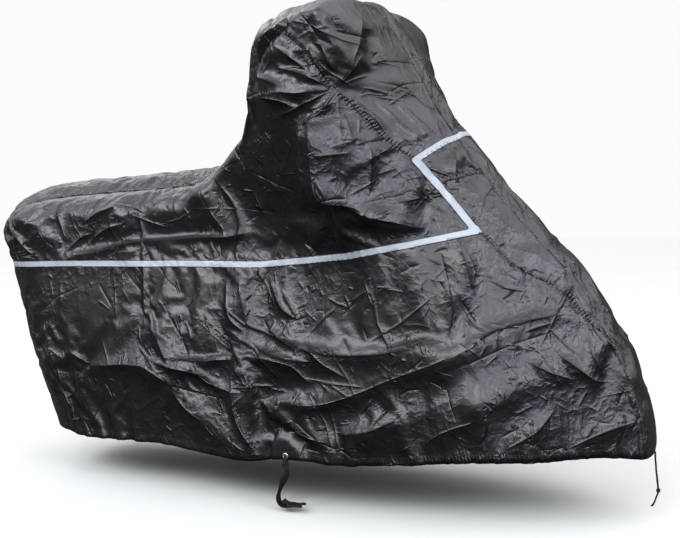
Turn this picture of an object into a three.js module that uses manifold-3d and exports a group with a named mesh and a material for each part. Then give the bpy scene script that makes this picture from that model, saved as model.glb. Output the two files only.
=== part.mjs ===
// A fitted outdoor cover, sewn from cloth panels, hollow and open underneath.
// Millimetres: X points to the nose, Y to the left side, Z up.
// The origin is the point just under the top of the dome, where the cover is carried.
// Heights in the tables count from just over the dome's top.

import * as THREE from 'three';
import { mergeVertices } from 'three/addons/utils/BufferGeometryUtils.js';
import Module from 'manifold-3d';

const wasm = await Module();
wasm.setup();
const { Manifold, Mesh: SolidMesh } = wasm;

// Driving dimensions
const clothThickness = 2;
const hemThickness = 3;
const seamInset = 0.25;        // each cloth edge stops this far from the seam line
const seamCutWidth = 0.5;
const tapeWidth = 19;
const tapeThickness = 1;
const tapeGap = 0.35;
const tapeEndInset = 1.5;
const eyelet = { x: -103, height: 10, holeRadius: 5.6, bore: 4.2, barrel: 5.2, flange: 8.5, plate: 0.8 };
const webbing = { thickness: 1.2, neckWidth: 6.9, width: 25 };
const cordDiameter = 4;
const piecesGap = 0.35;

// The origin lies this far under the height that the tables count from
const carryDepth = 20;

// Grid of each side panel, and of the centre strip across its width
const cellsAlong = 38;
const cellsUp = 20;
const stripCells = 4;

// The seam between the side panels and the centre strip, seen from the side.
// half is half the strip's width, crown how far the strip's middle stands proud.
const tailSeam = [
  { x: -1000, z: -1238, half: 80, crown: 14 },
  { x: -1040, z: -1130, half: 84, crown: 18 },
  { x: -1090, z: -960, half: 90, crown: 24 },
  { x: -1134, z: -800, half: 94, crown: 28 },
  { x: -1166, z: -700, half: 96, crown: 32 },
  { x: -1190, z: -632, half: 98, crown: 36 },
  { x: -1164, z: -572, half: 100, crown: 44 },
];
const topSeam = [
  { x: -1164, z: -572, half: 100, crown: 44 },
  { x: -1080, z: -546, half: 100, crown: 50 },
  { x: -945, z: -528, half: 100, crown: 52 },
  { x: -720, z: -514, half: 100, crown: 50 },
  { x: -560, z: -505, half: 98, crown: 52 },
  { x: -450, z: -490, half: 94, crown: 48 },
  { x: -380, z: -450, half: 88, crown: 30 },
  { x: -310, z: -388, half: 80, crown: 18 },
  { x: -256, z: -330, half: 72, crown: 14 },
  { x: -222, z: -262, half: 64, crown: 12 },
  { x: -212, z: -190, half: 58, crown: 12 },
  { x: -208, z: -130, half: 54, crown: 12 },
  { x: -198, z: -84, half: 52, crown: 10 },
  { x: -168, z: -52, half: 50, crown: 8 },
  { x: -116, z: -40, half: 50, crown: 6 },
  { x: -50, z: -28, half: 50, crown: 6 },
  { x: 20, z: -12, half: 50, crown: 6 },
  { x: 66, z: -20, half: 50, crown: 8 },
  { x: 104, z: -58, half: 50, crown: 10 },
];
const noseSeam = [
  { x: 790, z: -1199, half: 80, crown: 18 },
  { x: 788, z: -1150, half: 80, crown: 20 },
  { x: 780, z: -1100, half: 80, crown: 20 },
  { x: 764, z: -1038, half: 80, crown: 20 },
  { x: 738, z: -966, half: 80, crown: 22 },
  { x: 694, z: -884, half: 80, crown: 22 },
  { x: 642, z: -800, half: 80, crown: 24 },
  { x: 592, z: -726, half: 78, crown: 22 },
  { x: 532, z: -661, half: 76, crown: 20 },
  { x: 433, z: -551, half: 70, crown: 18 },
  { x: 355, z: -446, half: 62, crown: 16 },
  { x: 272, z: -340, half: 56, crown: 14 },
  { x: 204, z: -222, half: 52, crown: 12 },
  { x: 148, z: -125, half: 50, crown: 10 },
  { x: 104, z: -58, half: 50, crown: 10 },
];
const hemLine = [
  { x: -1000, z: -1238 }, { x: -780, z: -1233 }, { x: -560, z: -1228 }, { x: -370, z: -1238 },
  { x: -180, z: -1235 }, { x: -30, z: -1229 }, { x: 146, z: -1218 }, { x: 295, z: -1206 },
  { x: 467, z: -1193 }, { x: 668, z: -1192 }, { x: 790, z: -1199 },
];

// Half width of the draped side at six heights, one row for each station.
const widthHeights = {
  dome: -80, brow: -270, flank: -450, shoulder: -600, tape: -715, belly: -950, hem: -1220,
};
const widths = [
  { x: -1200, dome: 190, brow: 190, flank: 190, shoulder: 190, tape: 200, belly: 210, hem: 205 },
  { x: -950, dome: 195, brow: 195, flank: 195, shoulder: 205, tape: 216, belly: 232, hem: 235 },
  { x: -650, dome: 205, brow: 205, flank: 205, shoulder: 210, tape: 226, belly: 252, hem: 268 },
  { x: -400, dome: 215, brow: 215, flank: 208, shoulder: 205, tape: 224, belly: 262, hem: 284 },
  { x: -240, dome: 250, brow: 250, flank: 225, shoulder: 192, tape: 212, belly: 266, hem: 288 },
  { x: -110, dome: 345, brow: 335, flank: 262, shoulder: 192, tape: 212, belly: 268, hem: 290 },
  { x: 40, dome: 378, brow: 362, flank: 318, shoulder: 236, tape: 238, belly: 272, hem: 288 },
  { x: 130, dome: 374, brow: 350, flank: 316, shoulder: 262, tape: 256, belly: 272, hem: 284 },
  { x: 230, dome: 340, brow: 310, flank: 290, shoulder: 264, tape: 260, belly: 272, hem: 278 },
  { x: 360, dome: 290, brow: 262, flank: 250, shoulder: 250, tape: 254, belly: 264, hem: 264 },
  { x: 500, dome: 200, brow: 200, flank: 200, shoulder: 206, tape: 226, belly: 246, hem: 246 },
  { x: 650, dome: 150, brow: 150, flank: 150, shoulder: 160, tape: 180, belly: 206, hem: 206 },
  { x: 800, dome: 110, brow: 110, flank: 110, shoulder: 110, tape: 120, belly: 130, hem: 130 },
];

// The dome leans a little to the right: a rise for each millimetre to the left
const domeLean = 0.056;

// How far from each seam the side turns in to meet the strip, as a share of the
// panel: down from the top, forward from the tail, and back from the nose.
const topReach = [
  { at: 0, share: 0.11 }, { at: 0.44, share: 0.11 }, { at: 0.6, share: 0.07 }, { at: 1, share: 0.052 },
];
const tailReach = 0.115;
const noseReach = [
  { at: 0, share: 0.2 }, { at: 0.4, share: 0.26 }, { at: 0.75, share: 0.17 }, { at: 1, share: 0.05 },
];

// Table helpers
function smoothstep(low, high, value) {
  const t = THREE.MathUtils.clamp((value - low) / (high - low), 0, 1);
  return t * t * (3 - 2 * t);
}

function cubic(before, from, to, after, t) {
  const slopeFrom = (to - before) / 2;
  const slopeTo = (after - from) / 2;
  const t2 = t * t;
  const t3 = t2 * t;
  return (2 * t3 - 3 * t2 + 1) * from + (t3 - 2 * t2 + t) * slopeFrom
    + (3 * t2 - 2 * t3) * to + (t3 - t2) * slopeTo;
}

function lookUp(stops, values, position) {
  const last = stops.length - 1;
  const rising = stops[last] > stops[0] ? 1 : -1;
  let cell = 0;
  while (cell < last - 1 && (position - stops[cell + 1]) * rising > 0) cell += 1;
  const share = THREE.MathUtils.clamp((position - stops[cell]) / (stops[cell + 1] - stops[cell]), 0, 1);
  const before = values[Math.max(cell - 1, 0)];
  const after = values[Math.min(cell + 2, last)];
  return cubic(before, values[cell], values[cell + 1], after, share);
}

function shareAt(rows, position) {
  return lookUp(rows.map((row) => row.at), rows.map((row) => row.share), position);
}

const heightNames = Object.keys(widthHeights);
const heightStops = Object.values(widthHeights);
const widthStations = widths.map((row) => row.x);

function drapedHalfWidth(x, z) {
  const atHeight = widths.map((row) => lookUp(heightStops, heightNames.map((name) => row[name]), z));
  return lookUp(widthStations, atHeight, x);
}

// A seam table as a curve that is walked by its length
function seamCurve(rows) {
  const stops = rows.map((row) => new THREE.Vector3(row.x, 0, row.z));
  const path = new THREE.CatmullRomCurve3(stops, false, 'centripetal');
  path.arcLengthDivisions = 400;
  const last = rows.length - 1;
  return (share) => {
    const point = path.getPointAt(share);
    const along = path.getUtoTmapping(share) * last;
    const cell = Math.min(Math.floor(along), last - 1);
    const t = along - cell;
    return {
      x: point.x,
      z: point.z,
      half: THREE.MathUtils.lerp(rows[cell].half, rows[cell + 1].half, t),
      crown: THREE.MathUtils.lerp(rows[cell].crown, rows[cell + 1].crown, t),
    };
  };
}

const tailAt = seamCurve(tailSeam);
const topAt = seamCurve(topSeam);
const noseAt = seamCurve(noseSeam);
const tailFoot = tailSeam[0];
const noseFoot = noseSeam[0];
const tailTop = topSeam[0];
const noseTop = topSeam[topSeam.length - 1];
const hemStations = hemLine.map((row) => row.x);
const hemHeights = hemLine.map((row) => row.z);

// Rows and columns of the grid lie closer together where the cloth turns
function spreadAlong(index) {
  const t = index / cellsAlong;
  return t - 0.055 * Math.sin(2 * Math.PI * t) - 0.012 * Math.sin(4 * Math.PI * t);
}

function spreadUp(index) {
  const t = index / cellsUp;
  return Math.sin(t * Math.PI * 0.5) ** 0.94 * 0.55 + t * 0.45;
}

const alongStops = Array.from({ length: cellsAlong + 1 }, (_, index) => spreadAlong(index));
const upStops = Array.from({ length: cellsUp + 1 }, (_, index) => spreadUp(index));

function quarterTurn(share) {
  const inside = 1 - THREE.MathUtils.clamp(share, 0, 1);
  return Math.sqrt(1 - inside * inside);
}

// One point of a side panel, p from tail to nose and q from hem to top seam
function sidePoint(p, q, side, folds) {
  const tail = tailAt(q);
  const nose = noseAt(q);
  const top = topAt(p);
  const blend = (name, foot) => (1 - p) * tail[name] + p * nose[name] + (1 - q) * foot + q * top[name]
    - (1 - p) * (1 - q) * tailFoot[name] - p * (1 - q) * noseFoot[name]
    - (1 - p) * q * tailTop[name] - p * q * noseTop[name];
  const hemX = THREE.MathUtils.lerp(tailFoot.x, noseFoot.x, p);
  const x = blend('x', hemX);
  const z = blend('z', lookUp(hemStations, hemHeights, hemX));
  const edge = blend('half', THREE.MathUtils.lerp(tailFoot.half, noseFoot.half, p));
  const nosePart = THREE.MathUtils.clamp((1 - p) / shareAt(noseReach, q), 0, 1);
  const fullness = quarterTurn((1 - q) / shareAt(topReach, p)) * quarterTurn(p / tailReach)
    * (1 - (1 - nosePart) ** 1.7);
  const full = drapedHalfWidth(x, z);
  const fold = foldHeight(x, z, folds) * smoothstep(0.05, 0.9, fullness);
  const y = edge + (full - edge) * fullness + fold;
  const lean = domeLean * (y - edge) * smoothstep(-620, -120, z);
  return new THREE.Vector3(x, side * y, z + side * lean);
}

// Main folds of each side, as soft ridges (troughs where rise is negative) drawn
// from one point to another, downwards or to the nose. back is the fold's width
// on its tail side, or under it where it runs level, and front on the other.
const dipUnderDome = [
  { x1: -2, z1: -350, x2: -16, z2: -535, rise: 36, back: 26, front: 95 },
  { x1: -16, z1: -540, x2: 236, z2: -616, rise: 22, back: 28, front: 52 },
];
const rightFolds = [
  ...dipUnderDome,
  { x1: -1085, z1: -560, x2: -860, z2: -700, rise: 12, back: 40, front: 36 },
  { x1: -900, z1: -678, x2: -365, z2: -624, rise: -10, back: 26, front: 34 },
  { x1: -709, z1: -520, x2: -622, z2: -712, rise: 9, back: 40, front: 40 },
  { x1: -435, z1: -480, x2: -283, z2: -640, rise: 15, back: 42, front: 38 },
  { x1: -283, z1: -640, x2: -210, z2: -1190, rise: 13, back: 44, front: 40 },
  { x1: -547, z1: -900, x2: -385, z2: -1018, rise: 11, back: 40, front: 34 },
  { x1: -572, z1: -1000, x2: -241, z2: -1215, rise: 15, back: 46, front: 38 },
  { x1: -765, z1: -1024, x2: -385, z2: -1018, rise: 8, back: 34, front: 34 },
  { x1: -213, z1: -980, x2: 392, z2: -908, rise: 9, back: 40, front: 36 },
  { x1: -60, z1: -1062, x2: 297, z2: -961, rise: 13, back: 50, front: 42 },
  { x1: 297, z1: -961, x2: 650, z2: -850, rise: 16, back: 52, front: 40 },
  { x1: 64, z1: -1165, x2: 466, z2: -1021, rise: 14, back: 48, front: 44 },
  { x1: 466, z1: -1021, x2: 690, z2: -915, rise: 12, back: 44, front: 38 },
  { x1: 579, z1: -924, x2: 700, z2: -1030, rise: 10, back: 36, front: 32 },
  { x1: 346, z1: -650, x2: 357, z2: -800, rise: 11, back: 34, front: 34 },
  { x1: 248, z1: -660, x2: 259, z2: -800, rise: 9, back: 34, front: 34 },
  { x1: -130, z1: -250, x2: 60, z2: -272, rise: 12, back: 34, front: 34 },
  { x1: -34, z1: -283, x2: 75, z2: -267, rise: -8, back: 30, front: 30 },
  { x1: 84, z1: -68, x2: 108, z2: -210, rise: 13, back: 34, front: 44 },
  { x1: 224, z1: -262, x2: 262, z2: -392, rise: 9, back: 30, front: 34 },
];
const leftFolds = [
  ...dipUnderDome,
  { x1: -960, z1: -600, x2: -760, z2: -700, rise: 11, back: 38, front: 36 },
  { x1: -480, z1: -500, x2: -330, z2: -700, rise: 14, back: 44, front: 40 },
  { x1: -330, z1: -700, x2: -260, z2: -1180, rise: 12, back: 46, front: 42 },
  { x1: -700, z1: -860, x2: -420, z2: -1060, rise: 12, back: 44, front: 38 },
  { x1: -120, z1: -1010, x2: 330, z2: -930, rise: 12, back: 46, front: 42 },
  { x1: 330, z1: -930, x2: 640, z2: -850, rise: 13, back: 46, front: 40 },
  { x1: 100, z1: -1150, x2: 520, z2: -1010, rise: 13, back: 46, front: 42 },
  { x1: 300, z1: -660, x2: 320, z2: -810, rise: 10, back: 36, front: 36 },
  { x1: 80, z1: -70, x2: 104, z2: -220, rise: 12, back: 34, front: 42 },
];

function foldHeight(x, z, folds) {
  let height = 0;
  for (const fold of folds) {
    const runX = fold.x2 - fold.x1;
    const runZ = fold.z2 - fold.z1;
    const length = Math.hypot(runX, runZ);
    const along = ((x - fold.x1) * runX + (z - fold.z1) * runZ) / length;
    const across = ((x - fold.x1) * runZ - (z - fold.z1) * runX) / length;
    const width = across > 0 ? fold.back : fold.front;
    const fade = smoothstep(-0.2 * length, 0.2 * length, along)
      * (1 - smoothstep(0.8 * length, 1.2 * length, along));
    height += fold.rise * fade * Math.exp(-((across / width) ** 2));
  }
  return height;
}

function edgeStep(from, to) {
  return new THREE.Vector3().subVectors(to, from);
}

// Grid of points with the outward normal at each
function gridNormals(points, outward) {
  const columns = points.length;
  const rows = points[0].length;
  return points.map((column, i) => column.map((point, j) => {
    const along = edgeStep(points[Math.max(i - 1, 0)][j], points[Math.min(i + 1, columns - 1)][j]);
    const up = edgeStep(column[Math.max(j - 1, 0)], column[Math.min(j + 1, rows - 1)]);
    return new THREE.Vector3().crossVectors(along, up).normalize().multiplyScalar(outward);
  }));
}

function makeSide(side, folds) {
  const points = alongStops.map((p) => upStops.map((q) => sidePoint(p, q, side, folds)));
  return { points, normals: gridNormals(points, -side) };
}

// The chain of seam stations that the strip follows from tail hem to nose hem
const seamStations = [
  ...upStops.map((q, j) => ({ ...tailAt(q), column: 0, row: j })),
  ...alongStops.slice(1, -1).map((p, i) => ({ ...topAt(p), column: i + 1, row: cellsUp })),
  ...upStops.map((q, j) => ({ ...noseAt(q), column: cellsAlong, row: j })).reverse(),
];

function makeStrip() {
  const points = seamStations.map((station, k) => {
    const before = seamStations[Math.max(k - 1, 0)];
    const after = seamStations[Math.min(k + 1, seamStations.length - 1)];
    const out = new THREE.Vector3(before.z - after.z, 0, after.x - before.x).normalize();
    return Array.from({ length: stripCells + 1 }, (_, m) => {
      const across = (2 * m) / stripCells - 1;
      const rise = station.crown * (1 - across * across);
      return new THREE.Vector3(station.x + out.x * rise, across * station.half, station.z + out.z * rise);
    });
  });
  return { points, normals: gridNormals(points, 1) };
}

const rightSide = makeSide(-1, rightFolds);
const leftSide = makeSide(1, leftFolds);
const strip = makeStrip();

// Both cloths at a seam share one normal, so their edges never cross
seamStations.forEach((station, k) => {
  for (const [panel, m] of [[rightSide, 0], [leftSide, stripCells]]) {
    const sideNormal = panel.normals[station.column][station.row];
    const stripNormal = strip.normals[k][m];
    sideNormal.add(stripNormal).normalize();
    stripNormal.copy(sideNormal);
  }
});

// Whether the diagonal from the first corner bends a cell less than the other
function followsFold(a, b, c, d) {
  const bend = (p1, p2, p3, p4) => {
    const one = edgeStep(p1, p2).cross(edgeStep(p1, p3)).normalize();
    const two = edgeStep(p1, p3).cross(edgeStep(p1, p4)).normalize();
    return one.dot(two);
  };
  return bend(a, b, c, d) >= bend(b, c, d, a);
}

// A step of given length square to an edge, towards the inner neighbour
function awayFrom(point, inner, along, length) {
  const step = edgeStep(point, inner);
  const edge = along.normalize();
  return step.addScaledVector(edge, -step.dot(edge)).setLength(length);
}

// Closed sheet between two offsets of a grid, its edges drawn in by the inset
function sheet(grid, lift, depthAt, inset) {
  const { points, normals } = grid;
  const columns = points.length;
  const rows = points[0].length;
  const positions = [];
  const drawnIn = (i, j) => {
    const moved = points[i][j].clone();
    if (inset.sides.ends && (i === 0 || i === columns - 1)) {
      const inner = points[i === 0 ? 1 : columns - 2][j];
      const along = edgeStep(points[i][Math.max(j - 1, 0)], points[i][Math.min(j + 1, rows - 1)]);
      moved.add(awayFrom(points[i][j], inner, along, inset.by));
    }
    for (const row of inset.sides.rows) {
      if (j !== (row + rows) % rows) continue;
      const inner = points[i][row === 0 ? 1 : rows - 2];
      const along = edgeStep(points[Math.max(i - 1, 0)][j], points[Math.min(i + 1, columns - 1)][j]);
      moved.add(awayFrom(points[i][j], inner, along, inset.by));
    }
    return moved;
  };
  for (const layer of [0, 1]) {
    for (let i = 0; i < columns; i += 1) {
      for (let j = 0; j < rows; j += 1) {
        const offset = layer === 0 ? lift : lift - depthAt(i, j);
        const point = drawnIn(i, j).addScaledVector(normals[i][j], offset);
        positions.push(point.x, point.y, point.z);
      }
    }
  }
  const at = (layer, i, j) => layer * columns * rows + i * rows + j;
  const index = [];
  const quad = (a, b, c, d) => index.push(a, b, c, a, c, d);
  const otherQuad = (a, b, c, d) => index.push(a, b, d, b, c, d);
  for (let i = 0; i < columns - 1; i += 1) {
    for (let j = 0; j < rows - 1; j += 1) {
      const corners = [[i, j], [i + 1, j], [i + 1, j + 1], [i, j + 1]];
      const split = followsFold(...corners.map(([a, b]) => points[a][b])) ? quad : otherQuad;
      const [a, b, c, d] = corners.map(([column, row]) => at(1, column, row));
      split(...corners.map(([column, row]) => at(0, column, row)));
      split(a, d, c, b);
    }
  }
  // Edge walls, split along the shorter diagonal so that neighbours match
  const corner = (n) => new THREE.Vector3().fromArray(positions, n * 3);
  const wall = (a, b, c, d) => {
    const split = corner(a).distanceTo(corner(c)) <= corner(b).distanceTo(corner(d)) ? quad : otherQuad;
    split(a, b, c, d);
  };
  for (let i = 0; i < columns - 1; i += 1) {
    wall(at(0, i, 0), at(1, i, 0), at(1, i + 1, 0), at(0, i + 1, 0));
    wall(at(0, i, rows - 1), at(0, i + 1, rows - 1), at(1, i + 1, rows - 1), at(1, i, rows - 1));
  }
  for (let j = 0; j < rows - 1; j += 1) {
    wall(at(0, 0, j), at(0, 0, j + 1), at(1, 0, j + 1), at(1, 0, j));
    wall(at(0, columns - 1, j), at(1, columns - 1, j), at(1, columns - 1, j + 1), at(0, columns - 1, j + 1));
  }
  return facingOut(positions, index);
}

function facingOut(positions, index) {
  const corner = (n) => new THREE.Vector3().fromArray(positions, index[n] * 3);
  let volume = 0;
  for (let n = 0; n < index.length; n += 3) {
    volume += corner(n).dot(corner(n + 1).cross(corner(n + 2)));
  }
  if (volume < 0) index.reverse();
  const geometry = new THREE.BufferGeometry();
  geometry.setAttribute('position', new THREE.Float32BufferAttribute(positions, 3));
  geometry.setIndex(index);
  return geometry;
}

// Solids that are cut or joined
function toSolid(geometry) {
  const plain = geometry.clone();
  plain.deleteAttribute('normal');
  plain.deleteAttribute('uv');
  const merged = mergeVertices(plain, 1e-4);
  return new Manifold(new SolidMesh({
    numProp: 3,
    vertProperties: new Float32Array(merged.attributes.position.array),
    triVerts: new Uint32Array(merged.index.array),
  }));
}

function toGeometry(solid) {
  const mesh = solid.getMesh();
  const geometry = new THREE.BufferGeometry();
  geometry.setAttribute('position', new THREE.BufferAttribute(mesh.vertProperties, 3));
  geometry.setIndex(new THREE.BufferAttribute(mesh.triVerts, 1));
  return geometry;
}

// A band of even width along a line in the side view, reaching from y to y
function band(line, width, fromY, toY) {
  const left = [];
  const right = [];
  line.forEach((point, n) => {
    const before = line[Math.max(n - 1, 0)];
    const after = line[Math.min(n + 1, line.length - 1)];
    const into = new THREE.Vector2(point.x - before.x, point.z - before.z);
    const out = new THREE.Vector2(after.x - point.x, after.z - point.z);
    if (into.lengthSq() === 0) into.copy(out);
    if (out.lengthSq() === 0) out.copy(into);
    into.normalize();
    out.normalize();
    const mitre = new THREE.Vector2(-into.y - out.y, into.x + out.x).normalize();
    const reach = width / 2 / Math.abs(mitre.dot(new THREE.Vector2(-into.y, into.x)));
    left.push(new THREE.Vector2(point.x + mitre.x * reach, point.z + mitre.y * reach));
    right.push(new THREE.Vector2(point.x - mitre.x * reach, point.z - mitre.y * reach));
  });
  const shape = new THREE.Shape([...left, ...right.reverse()]);
  const geometry = new THREE.ExtrudeGeometry(shape, { depth: toY - fromY, bevelEnabled: false });
  geometry.rotateX(Math.PI / 2);
  geometry.translate(0, toY, 0);
  return toSolid(geometry);
}

// Shirred seam from the dome's rear top to the nose, and the reflective tape.
// Both run past the panel's edge, and tapeLine crosses the strip at tail and nose.
const shirredSeam = [
  { x: -330, z: 60 }, { x: -190, z: -36 }, { x: -51, z: -126 }, { x: 21, z: -183 }, { x: 75, z: -267 },
  { x: 121, z: -330 }, { x: 170, z: -392 }, { x: 237, z: -448 }, { x: 391, z: -627 }, { x: 479, z: -718 },
  { x: 523, z: -743 }, { x: 567, z: -764 }, { x: 612, z: -802 }, { x: 650, z: -852 }, { x: 696, z: -896 },
  { x: 760, z: -950 },
];
const tapeLine = [
  { x: -1320, z: -744 }, { x: -885, z: -727 }, { x: -456, z: -720 }, { x: -208, z: -719 },
  { x: -85, z: -708 }, { x: 65, z: -691 }, { x: 241, z: -659 }, { x: 385, z: -629 },
  { x: 239, z: -448 }, { x: 300, z: -393 }, { x: 360, z: -322 },
];

const sideReach = 420;
const panelSeams = { ends: true, rows: [-1] };
const stripSeams = { ends: false, rows: [0, -1] };

const rowThickness = (i, j) => (j <= 1 ? hemThickness : clothThickness);

function largestFirst(solid) {
  return solid.decompose().sort((a, b) => b.volume() - a.volume());
}

function tapeLayer(grid, sides) {
  return toSolid(sheet(grid, tapeGap + tapeThickness, () => tapeThickness, { by: tapeEndInset, sides }));
}

function cutSide(panel, side) {
  const reach = side < 0 ? [-sideReach, 0] : [0, sideReach];
  const cloth = toSolid(sheet(panel, 0, rowThickness, { by: seamInset, sides: panelSeams }));
  const [main, wing] = largestFirst(cloth.subtract(band(shirredSeam, seamCutWidth, ...reach)));
  const [tape] = largestFirst(tapeLayer(panel, panelSeams).intersect(band(tapeLine, tapeWidth, ...reach)));
  return { main, wing, tape };
}

function cutStripTapes() {
  const layer = tapeLayer(strip, stripSeams).intersect(band(tapeLine, tapeWidth, -sideReach, sideReach));
  const pieces = layer.decompose();
  const lowestX = (solid) => solid.boundingBox().min[0];
  pieces.sort((a, b) => lowestX(a) - lowestX(b));
  return { tail: pieces[0], nose: pieces[pieces.length - 1] };
}

// Point and outward direction on a cloth's outer face, found from the side
function spotOn(solid, x, z, side) {
  const ray = new THREE.Raycaster(new THREE.Vector3(x, side * 1000, z), new THREE.Vector3(0, -side, 0));
  const [hit] = ray.intersectObject(new THREE.Mesh(toGeometry(solid)));
  return { point: hit.point, out: hit.face.normal.clone() };
}

// Placement whose Z points out of the cloth, with Y as near to up as it can be
function placedAt(spot) {
  const across = new THREE.Vector3(0, 0, 1).cross(spot.out).normalize();
  const up = new THREE.Vector3().crossVectors(spot.out, across);
  return new THREE.Matrix4().makeBasis(across, up, spot.out).setPosition(spot.point);
}

function eyeletHole(place) {
  const drill = new THREE.CylinderGeometry(eyelet.holeRadius, eyelet.holeRadius, 40, 20);
  drill.rotateX(Math.PI / 2);
  return toSolid(drill.applyMatrix4(place));
}

function eyeletRing(place) {
  const outside = piecesGap;
  const inside = -hemThickness - piecesGap - 0.15;
  const profile = [
    [eyelet.bore, inside - eyelet.plate], [eyelet.flange, inside - eyelet.plate], [eyelet.flange, inside],
    [eyelet.barrel, inside], [eyelet.barrel, outside], [eyelet.flange, outside],
    [eyelet.flange, outside + eyelet.plate], [eyelet.bore, outside + eyelet.plate],
    [eyelet.bore, inside - eyelet.plate],
  ].map(([radius, height]) => new THREE.Vector2(radius, height));
  const ring = new THREE.LatheGeometry(profile, 20);
  ring.rotateX(Math.PI / 2);
  return toGeometry(toSolid(ring.applyMatrix4(place)));
}

// Flat band through rows of centre points, a few steps from row to row. turn is the
// angle of its width from the X axis, in degrees seen from above, and wide its width.
const stepsPerRow = 3;

function strapBand(rows) {
  const path = new THREE.CatmullRomCurve3(rows.map((row) => new THREE.Vector3(row.x, row.y, row.z)));
  const stops = rows.map((_, index) => index);
  const steps = stepsPerRow * (rows.length - 1);
  const positions = [];
  for (let n = 0; n <= steps; n += 1) {
    const centre = path.getPoint(n / steps);
    const along = path.getTangent(n / steps);
    const turn = THREE.MathUtils.degToRad(lookUp(stops, rows.map((row) => row.turn), n / stepsPerRow));
    const wide = lookUp(stops, rows.map((row) => row.wide), n / stepsPerRow);
    const across = new THREE.Vector3(Math.cos(turn), Math.sin(turn), 0);
    across.addScaledVector(along, -across.dot(along)).setLength(wide / 2);
    const up = new THREE.Vector3().crossVectors(along, across).setLength(webbing.thickness / 2);
    for (const [a, b] of [[-1, -1], [1, -1], [1, 1], [-1, 1]]) {
      const corner = centre.clone().addScaledVector(across, a).addScaledVector(up, b);
      positions.push(corner.x, corner.y, corner.z);
    }
  }
  const index = [];
  for (let n = 0; n < steps; n += 1) {
    for (let side = 0; side < 4; side += 1) {
      const a = 4 * n + side;
      const b = 4 * n + ((side + 1) % 4);
      index.push(a, b, b + 4, a, b + 4, a + 4);
    }
  }
  const end = 4 * steps;
  index.push(0, 2, 1, 0, 3, 2, end, end + 1, end + 2, end, end + 2, end + 3);
  return facingOut(positions, index);
}

// The strap's head: up behind the hem, out through the eyelet and down again.
// out is measured from the hem's face, up from the eyelet's centre.
const strapHead = [
  { out: -0.2, up: -33, wide: 20 }, { out: -0.7, up: -25, wide: 18 }, { out: -3.4, up: -17, wide: 14 },
  { out: -6.2, up: -10, wide: 10 }, { out: -6.6, up: -4.5, wide: 7.4 },
  { out: -4.6, up: -0.7, wide: webbing.neckWidth }, { out: -1.6, up: 0.2, wide: webbing.neckWidth },
  { out: 1.4, up: -0.7, wide: webbing.neckWidth }, { out: 3.4, up: -4.5, wide: 7.4 },
  { out: 3.5, up: -10, wide: 10 }, { out: 2.6, up: -17, wide: 14 }, { out: 1.6, up: -25, wide: 18 },
  { out: 1.4, up: -34, wide: 21 },
];
// The long strap hangs and curls forward into its buckle, the short one hangs straight
const longStrapTail = [
  { forward: -2, out: 1.5, up: -52, turn: 40 }, { forward: -8, out: 2, up: -72, turn: 68 },
  { forward: -16, out: 3, up: -92, turn: 90 }, { forward: -21, out: 4, up: -109, turn: 90 },
  { forward: -19, out: 4, up: -124, turn: 90 }, { forward: -10, out: 4, up: -133.2, turn: 90 },
  { forward: 1, out: 4, up: -135.3, turn: 90 },
];
const plugAt = { forward: 10, out: 4, up: -130.4, pitch: 5 };
// The strap's way round the buckle's bar, and back along itself
const barWrap = [
  { along: 1.2, up: -4.3 }, { along: 3.9, up: -4.2 }, { along: 5.5, up: -3.3 }, { along: 6, up: -1.5 },
  { along: 6, up: 1.5 }, { along: 5.5, up: 3.3 }, { along: 3.9, up: 4.3 }, { along: 1.2, up: 4.6 },
  { along: -5, up: 5.8 },
];
const foldedEnd = [{ along: -11, up: 9 }, { along: -15, up: 14 }];
const shortStrapTail = [{ out: 1.5, up: -46 }, { out: 1.5, up: -56 }];
const socketAt = { out: 5.8, up: -60 };

function strapRows(origin, side, rows) {
  return rows.map(({ forward = 0, out, up, wide = webbing.width, turn = 0 }) => ({
    x: origin.x + forward, y: origin.y + side * out, z: origin.z + up, wide, turn,
  }));
}

function longStrap(origin, side) {
  const pitch = THREE.MathUtils.degToRad(plugAt.pitch);
  const wrapped = [...barWrap, ...foldedEnd].map(({ along, up }) => ({
    forward: plugAt.forward + along * Math.cos(pitch) - up * Math.sin(pitch),
    out: plugAt.out,
    up: plugAt.up + along * Math.sin(pitch) + up * Math.cos(pitch),
    turn: 90,
  }));
  return strapBand(strapRows(origin, side, [...strapHead, ...longStrapTail, ...wrapped]));
}

function shortStrap(origin, side) {
  const wrapped = barWrap.map(({ along, up }) => ({ out: socketAt.out + up, up: socketAt.up - along }));
  return strapBand(strapRows(origin, side, [...strapHead, ...shortStrapTail, ...wrapped]));
}

// Side-release buckle: its length along X, its strap bar at the origin end
const buckle = { half: 16.5, bar: 4, slotEnd: 8, base: 14, thickness: 6, slotHalf: 13.4 };
const prongOutline = [
  [13, 9.6], [30, 9.2], [33, 8.6], [43, 10.5], [45, 12.5], [43.5, 14.2], [33, 16.2], [31, 15], [31, 12.6],
  [13, 13.2],
];
const tongueHalf = [[13, 2.6], [37, 2.2], [38.5, 0.8]];
const socket = {
  end: 46, height: 11, corner: 3, mouth: 14, mouthHalf: 13.6, mouthHeight: 7.2, windowFrom: 24, windowTo: 37,
};

function outline(points) {
  return new THREE.Shape(points.map(([x, y]) => new THREE.Vector2(x, y)));
}

function boxSolid(x1, x2, half, height) {
  const box = new THREE.BoxGeometry(x2 - x1, 2 * half, height);
  return toSolid(box.translate((x1 + x2) / 2, 0, 0));
}

function plate(shape, thickness) {
  const geometry = new THREE.ExtrudeGeometry(shape, { depth: thickness, bevelEnabled: false });
  return geometry.translate(0, 0, -thickness / 2);
}

function mirrored(points) {
  return points.map(([x, y]) => [x, -y]).reverse();
}

function buckleSlot(height) {
  return boxSolid(buckle.bar, buckle.slotEnd, buckle.slotHalf, height);
}

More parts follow.
